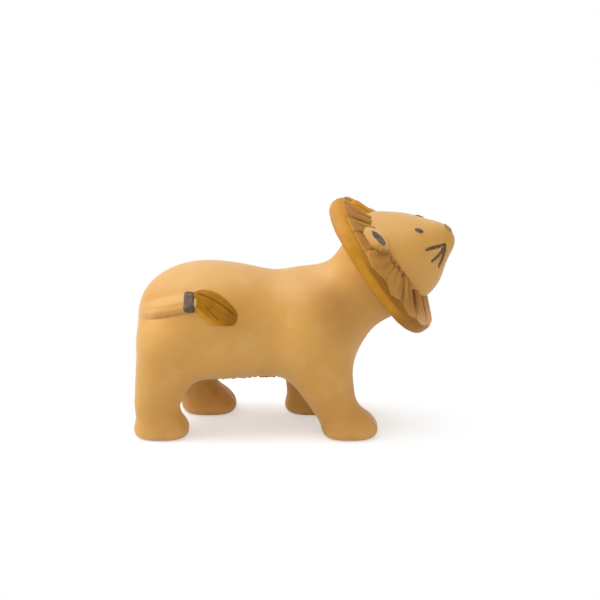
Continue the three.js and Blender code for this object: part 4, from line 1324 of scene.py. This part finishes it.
def hair_piece(material):
    """The locks and their bed under one closed skin, with marks for the painted shade in gaps and along
    strands.
    """
    leaf_points, faces = grown_locks(material)
    bed_points, bed_faces = lock_bed()
    faces += [[len(leaf_points) + corner for corner in face] for face in bed_faces]
    raw = mesh_piece("raw_hair", from_head(np.concatenate([leaf_points, bed_points])), faces)
    modifier = raw.modifiers.new("skin", "REMESH")
    modifier.mode = "VOXEL"
    modifier.voxel_size = HAIR_VOXEL * MM
    mesh = plain_mesh(raw)
    points = corners_of(mesh) / MM
    piece = mesh_piece("mane_hair", points, [list(p.vertices) for p in mesh.polygons])
    piece.data.vertices.foreach_set("co", (averaged(points, edges_of(piece), 2) * MM).reshape(-1))
    piece.data.update()
    outward(piece)

    q = to_head(points)
    turn, radius = np.arctan2(q[:, 1], q[:, 2]), np.hypot(q[:, 1], q[:, 2])
    across, along, strand = place_in_lock(turn, radius)
    at_top = smooth(0.9, 0.75, np.abs(turn))
    calm = smooth(1.0, 1.15, np.abs(turn)) * smooth(1.95, 1.75, np.abs(turn))
    # Mark for the painted shade in the gaps between the locks.
    gap = smooth(0.86 - 0.1 * at_top, 0.97 - 0.04 * at_top, np.abs(across))
    gap = gap * (1 - (0.75 - 0.2 * at_top) * smooth(0.45 + 0.25 * at_top, 0.95, along))
    set_attribute(piece, "gap", gap * (1 - 0.8 * calm * smooth(0.2, 0.5, along)))
    set_attribute(piece, "golden", bell(np.degrees(turn) - 3, 8) * smooth(26.8, 25.6, radius))
    set_attribute(piece, "height", q[:, 2] / MANE_RADIUS)
    # Mark for the painted shade along the strand grooves.
    line = smooth(0.35, -0.9, strand) * (1 - smooth(0.55, 0.95, along)) * (1 - 0.5 * calm)
    set_attribute(piece, "line", line)
    return piece


# The tail's tuft and band. Places on the flank are along the body and up.
TUFT_UPPER = ((-38.2, 55.6), (-34.0, 57.0), (-29.2, 56.3), (-25.4, 54.1), (-21.6, 50.4), (-20.8, 47.9))
TUFT_LOWER = ((-38.2, 52.6), (-34.0, 48.2), (-30.4, 45.4), (-26.6, 44.8), (-22.9, 44.7), (-21.3, 45.7))
TUFT_STEPS = (110, 57)
TUFT_RISE = {"edge": 0.15, "crown": 1.75, "sunk": -0.1, "root": 0.5}
# The tuft's grooves: place across at the root, how that changes along the tuft, depth, width, and the shares
# of the length where each one starts and ends.
TUFT_GROOVES = [
    (0.64, -0.42, 1.0, 0.075, 0.12, 0.86),
    (0.48, -2.0, 0.75, 0.08, 0.26, 0.62),
    (0.1, -0.3, 0.3, 0.07, 0.3, 0.8),
    (-0.32, -0.9, 0.4, 0.05, 0.05, 0.45),
    (-0.64, -0.5, 0.35, 0.05, 0.08, 0.5),
    (0.86, 0.0, 0.3, 0.05, 0.15, 0.5),
]
GROOVE_DEPTH = 0.62
BAND_MIDDLE = (-38.3, 52.75)
BAND_HALF = (2.15, 3.45)
BAND_RISE = {"crown": 2.3, "edge": -0.1, "wave": 0.14, "root": 0.6}


def flank(x, z):
    """The point of the right flank at that place along the body and that height."""
    start = np.stack([x, np.full_like(x, -34.0), z], -1)
    end = np.stack([x, np.full_like(x, -2.0), z], -1)
    return seat_on(plain_body, start, end)


def spline(points, u):
    """A smooth line through points at even steps of u."""
    points = np.array(points, float)
    padded = np.concatenate([[2 * points[0] - points[1]], points, [2 * points[-1] - points[-2]]])
    at = np.clip(u, 0, 1) * (len(points) - 1)
    i = np.minimum(at.astype(int), len(points) - 2)
    t = (at - i)[:, None]
    a, b, c, d = (padded[i + k] for k in range(4))
    bend, twist = 2 * a - 5 * b + 4 * c - d, 3 * b - a - 3 * c + d
    return 0.5 * (2 * b + (c - a) * t + bend * t ** 2 + twist * t ** 3)


def tuft_piece():
    """A leaf of hair laid on the flank, carved with grooves that run along it."""
    u, v = (np.linspace(first, 1, steps) for first, steps in zip((0, -1), TUFT_STEPS))
    upper, lower = spline(TUFT_UPPER, u), spline(TUFT_LOWER, u)
    flat = lower[:, None] + (upper - lower)[:, None] * ((v + 1) / 2)[None, :, None]
    on_skin = flank(flat[..., 0], flat[..., 1])
    _, normal = settle(plain_body, on_skin, 1)
    u, v = np.meshgrid(u, v, indexing="ij")
    swell = (0.7 + 0.3 * smooth(0, 0.3, u)) * (0.4 + 0.6 * smooth(1.0, 0.55, u))
    edge = np.sqrt(np.maximum(0, 1 - np.abs(v) ** 2.6))
    ends = np.sqrt(np.maximum(0, 1 - smooth(0.9, 1.0, u) ** 2))
    grooves = 0
    for place, change, depth, width, start, stop in TUFT_GROOVES:
        fade = smooth(start, start + 0.06, u) * smooth(stop, stop - 0.12, u)
        grooves = grooves + depth * bell(v - place - change * u, width) * fade
    lift = (TUFT_RISE["edge"] + TUFT_RISE["crown"] * swell * edge) * ends - grooves * edge * GROOVE_DEPTH
    lift = np.where((np.abs(v) == 1) | (u == 0) | (u == 1), TUFT_RISE["sunk"], lift)
    points, faces = shell(on_skin + normal * lift[..., None], on_skin - normal * TUFT_RISE["root"])
    piece = outward(mesh_piece("tail_leaf", points, faces))
    set_attribute(piece, "along", np.concatenate([u, u]))
    set_attribute(piece, "across", np.concatenate([v, v]))
    return piece


def band_piece():
    """The soft-cornered pad between the tail and its tuft."""
    turns = np.linspace(0, 2 * np.pi, 72, endpoint=False)
    shares = np.linspace(0, 1, 19)[:, None]
    corner = (np.abs(np.cos(turns)) ** 4 + np.abs(np.sin(turns)) ** 4) ** -0.25
    drawn_in = 0.35 * smooth(0.2, -0.9, np.sin(turns)) * smooth(0.3, -0.6, np.cos(turns))
    x = BAND_MIDDLE[0] + shares * (BAND_HALF[0] * corner * np.cos(turns) - drawn_in)
    z = BAND_MIDDLE[1] + shares * (BAND_HALF[1] * corner * np.sin(turns))
    on_skin = flank(x, z)
    _, normal = settle(plain_body, on_skin, 1)
    lift = BAND_RISE["crown"] * np.sqrt(np.maximum(0, 1 - shares ** 4)) + BAND_RISE["edge"]
    lift = lift + BAND_RISE["wave"] * (shares ** 2 * (1 - shares ** 6)) * np.sin(3 * turns + 1)
    points, faces = disc_shell(on_skin + normal * lift[..., None], on_skin - normal * BAND_RISE["root"])
    return outward(mesh_piece("tail_band_pad", points, faces))


# The flash left along the belly by the mould: a thin ragged fin. Its section is the depth, as a share of what
# stands out or of the root inside, and half the width there.
FLASH_ENDS = (-37.2, -1.2)
FLASH_STEPS = 150
FLASH_SIDE = -2.6
FLASH_SECTION = ((-0.5, 0.55), (0.15, 0.35), (0.65, 0.22), (1.0, 0.08))
FLASH_ROOT = 0.6
FLASH_SEED = 7
# How far it stands out at least, how much the ragged edge adds, the share of that left at the rear, where it
# grows full, and how many steps taper each end.
FLASH_LEAST, FLASH_MORE = 0.35, 1.05
FLASH_REAR = 0.62
FLASH_FULL = (-22, -8)
FLASH_TAPER = 8


def flash_piece():
    x, count = np.linspace(*FLASH_ENDS, FLASH_STEPS), FLASH_STEPS
    side = np.full(count, FLASH_SIDE)
    ground, inside = np.zeros(count), np.full(count, 40.0)
    belly = seat_on(plain_body, np.stack([x, side, ground], -1), np.stack([x, side, inside], -1))
    steps = np.arange(count)
    chance = np.random.default_rng(FLASH_SEED).random(count)
    ragged = averaged(chance, np.stack([steps[:-1], steps[1:]], -1), 2)
    ragged = (ragged - ragged.min()) / (ragged.max() - ragged.min())
    fuller = FLASH_REAR + (1 - FLASH_REAR) * smooth(*FLASH_FULL, x)
    proud = FLASH_LEAST + FLASH_MORE * ragged * fuller
    proud = proud * np.minimum(1, np.minimum(steps, steps[::-1]) / FLASH_TAPER)
    _, down = settle(plain_body, belly, 1)
    loop = [(depth, -half) for depth, half in FLASH_SECTION] + list(FLASH_SECTION[::-1])
    ring = np.stack([
        belly + down * (proud * max(depth, 0) + min(depth, 0) * FLASH_ROOT)[:, None] + np.array([0, half, 0])
        for depth, half in loop
    ], 1)
    cols = len(loop)
    faces = tube_faces(count, cols)
    faces.append(list(range(cols))[::-1])
    faces.append([(count - 1) * cols + j for j in range(cols)])
    piece = outward(mesh_piece("belly_flash", ring.reshape(-1, 3), faces))
    # The whole fin takes a fixed share of the painted hollow shade, which makes it browner.
    set_attribute(piece, "hollow", np.full(count * cols, 0.15))
    return piece


# Making the pieces, and what each of them wears and stands for.


def dress(piece, material, slot, *nodes):
    piece.data.materials.clear()
    piece.data.materials.append(material)
    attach(piece, "root")
    if nodes:
        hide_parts(*nodes)


tan_paint = lock_finish()
body, head, painted = body_piece(), head_piece(), painted_pieces()
rim, hair = rim_piece(), hair_piece(tan_paint)
tuft, band, flash = tuft_piece(), band_piece(), flash_piece()
# The hollow mark drives the painted shade in hollows and the painted highlights on ridges.
for piece, rounds in ((body, 14), (head, 12), (hair, 8), (tuft, 6)):
    set_attribute(piece, "hollow", hollow_of(piece, rounds))

grey, stroke, honey = grey_finish(), whisker_finish(), body_finish()
legs = ("front_right_leg", "front_left_leg", "rear_right_leg", "rear_left_leg")
dress(body, honey, "honey_rubber", "trunk", *legs, "tail")
dress(head, head_finish(), "honey_rubber", "head", "right_ear", "left_ear")
dress(rim, rim_finish(), "ochre_paint", "mane_disc")
dress(hair, tan_paint, "tan_paint", "mane_locks")
dress(tuft, tuft_finish(), "tuft_paint", "tail_tuft")
dress(band, grey, "grey_paint", "tail_band")
dress(flash, honey, "honey_rubber")
for node, piece in painted.items():
    if node == "nose":
        dress(piece, nose_finish(), "nose_paint", node)
    else:
        dress(piece, stroke if "whisker" in node else grey, "grey_paint", node)

# Floor, light and camera.

FLOOR_HALF = 3.0
ROOM_LIGHT = 0.5
ROOM_COLOUR = (1, 0.955, 0.87, 1)
# Lamps: place, what they point at, size, watts and colour.
LAMPS = {
    "key": ((-0.38, 0.06, 0.72), (0, 0, 0.04), 0.6, 4.5, (0.97, 1.0, 1.06)),
    "fill": ((0.1, -0.85, 0.3), (0, 0, 0.04), 0.8, 0.9, (1, 1, 1)),
    "front": ((0.45, -0.25, 0.04), (0.03, 0, 0.05), 0.3, 0.4, (1, 1, 1)),
    "behind": ((-0.7, -0.12, 0.2), (-0.05, 0, 0.045), 0.4, 0.9, (1, 1, 1)),
}
CAMERA_DISTANCE = 0.85
CAMERA_DOWN = math.radians(17)
CAMERA_TARGET = Vector(((2.3 + SHIFT[0]) * MM, 0, 0.0482))
SENSOR_WIDTH = 36
FOCAL_PIXELS = 2261
PHOTO_PIXELS = 600


def lay_floor():
    s = FLOOR_HALF
    mesh = bpy.data.meshes.new("floor")
    mesh.from_pydata([(-s, -s, 0), (s, -s, 0), (s, s, 0), (-s, s, 0)], [], [(0, 1, 2, 3)])
    floor = bpy.data.objects.new("floor", mesh)
    floor.data.materials.append(floor_finish())
    floor.location.z = -0.00002
    bpy.context.scene.collection.objects.link(floor)


def light_room():
    """Warm even light from all round, which the camera sees as plain white."""
    world = bpy.data.worlds.new("studio")
    bpy.context.scene.world = world
    world.use_nodes = True
    tree = world.node_tree
    background = tree.nodes["Background"]
    seen = seen_straight(tree)
    level = tree.nodes.new("ShaderNodeMapRange")
    level.inputs["To Min"].default_value = ROOM_LIGHT
    level.inputs["To Max"].default_value = 1.0
    tree.links.new(seen, level.inputs["Value"])
    tree.links.new(level.outputs["Result"], background.inputs["Strength"])
    warmth = tree.nodes.new("ShaderNodeMix")
    warmth.data_type = "RGBA"
    warmth.inputs[6].default_value = ROOM_COLOUR
    warmth.inputs[7].default_value = (1, 1, 1, 1)
    tree.links.new(seen, warmth.inputs["Factor"])
    tree.links.new(warmth.outputs[2], background.inputs["Color"])


def set_lamp(name, place, target, size, power, colour):
    data = bpy.data.lights.new(name, "AREA")
    data.shape = "DISK"
    data.size, data.energy, data.color = size, power, colour
    lamp = bpy.data.objects.new(name, data)
    lamp.location = place
    lamp.rotation_euler = (Vector(target) - Vector(place)).to_track_quat("-Z", "Y").to_euler()
    bpy.context.scene.collection.objects.link(lamp)


def set_camera():
    data = bpy.data.cameras.new("camera")
    data.sensor_width = SENSOR_WIDTH
    data.lens = SENSOR_WIDTH * FOCAL_PIXELS / PHOTO_PIXELS
    data.clip_start = 0.01
    camera = bpy.data.objects.new("camera", data)
    away = Vector((0, -math.cos(CAMERA_DOWN), math.sin(CAMERA_DOWN)))
    camera.location = CAMERA_TARGET + away * CAMERA_DISTANCE
    camera.rotation_euler = (math.pi / 2 - CAMERA_DOWN, 0, 0)
    bpy.context.scene.collection.objects.link(camera)
    bpy.context.scene.camera = camera


lay_floor()
light_room()
for lamp_name, values in LAMPS.items():
    set_lamp(lamp_name, *values)
set_camera()
bpy.context.scene.view_settings.view_transform = "Standard"
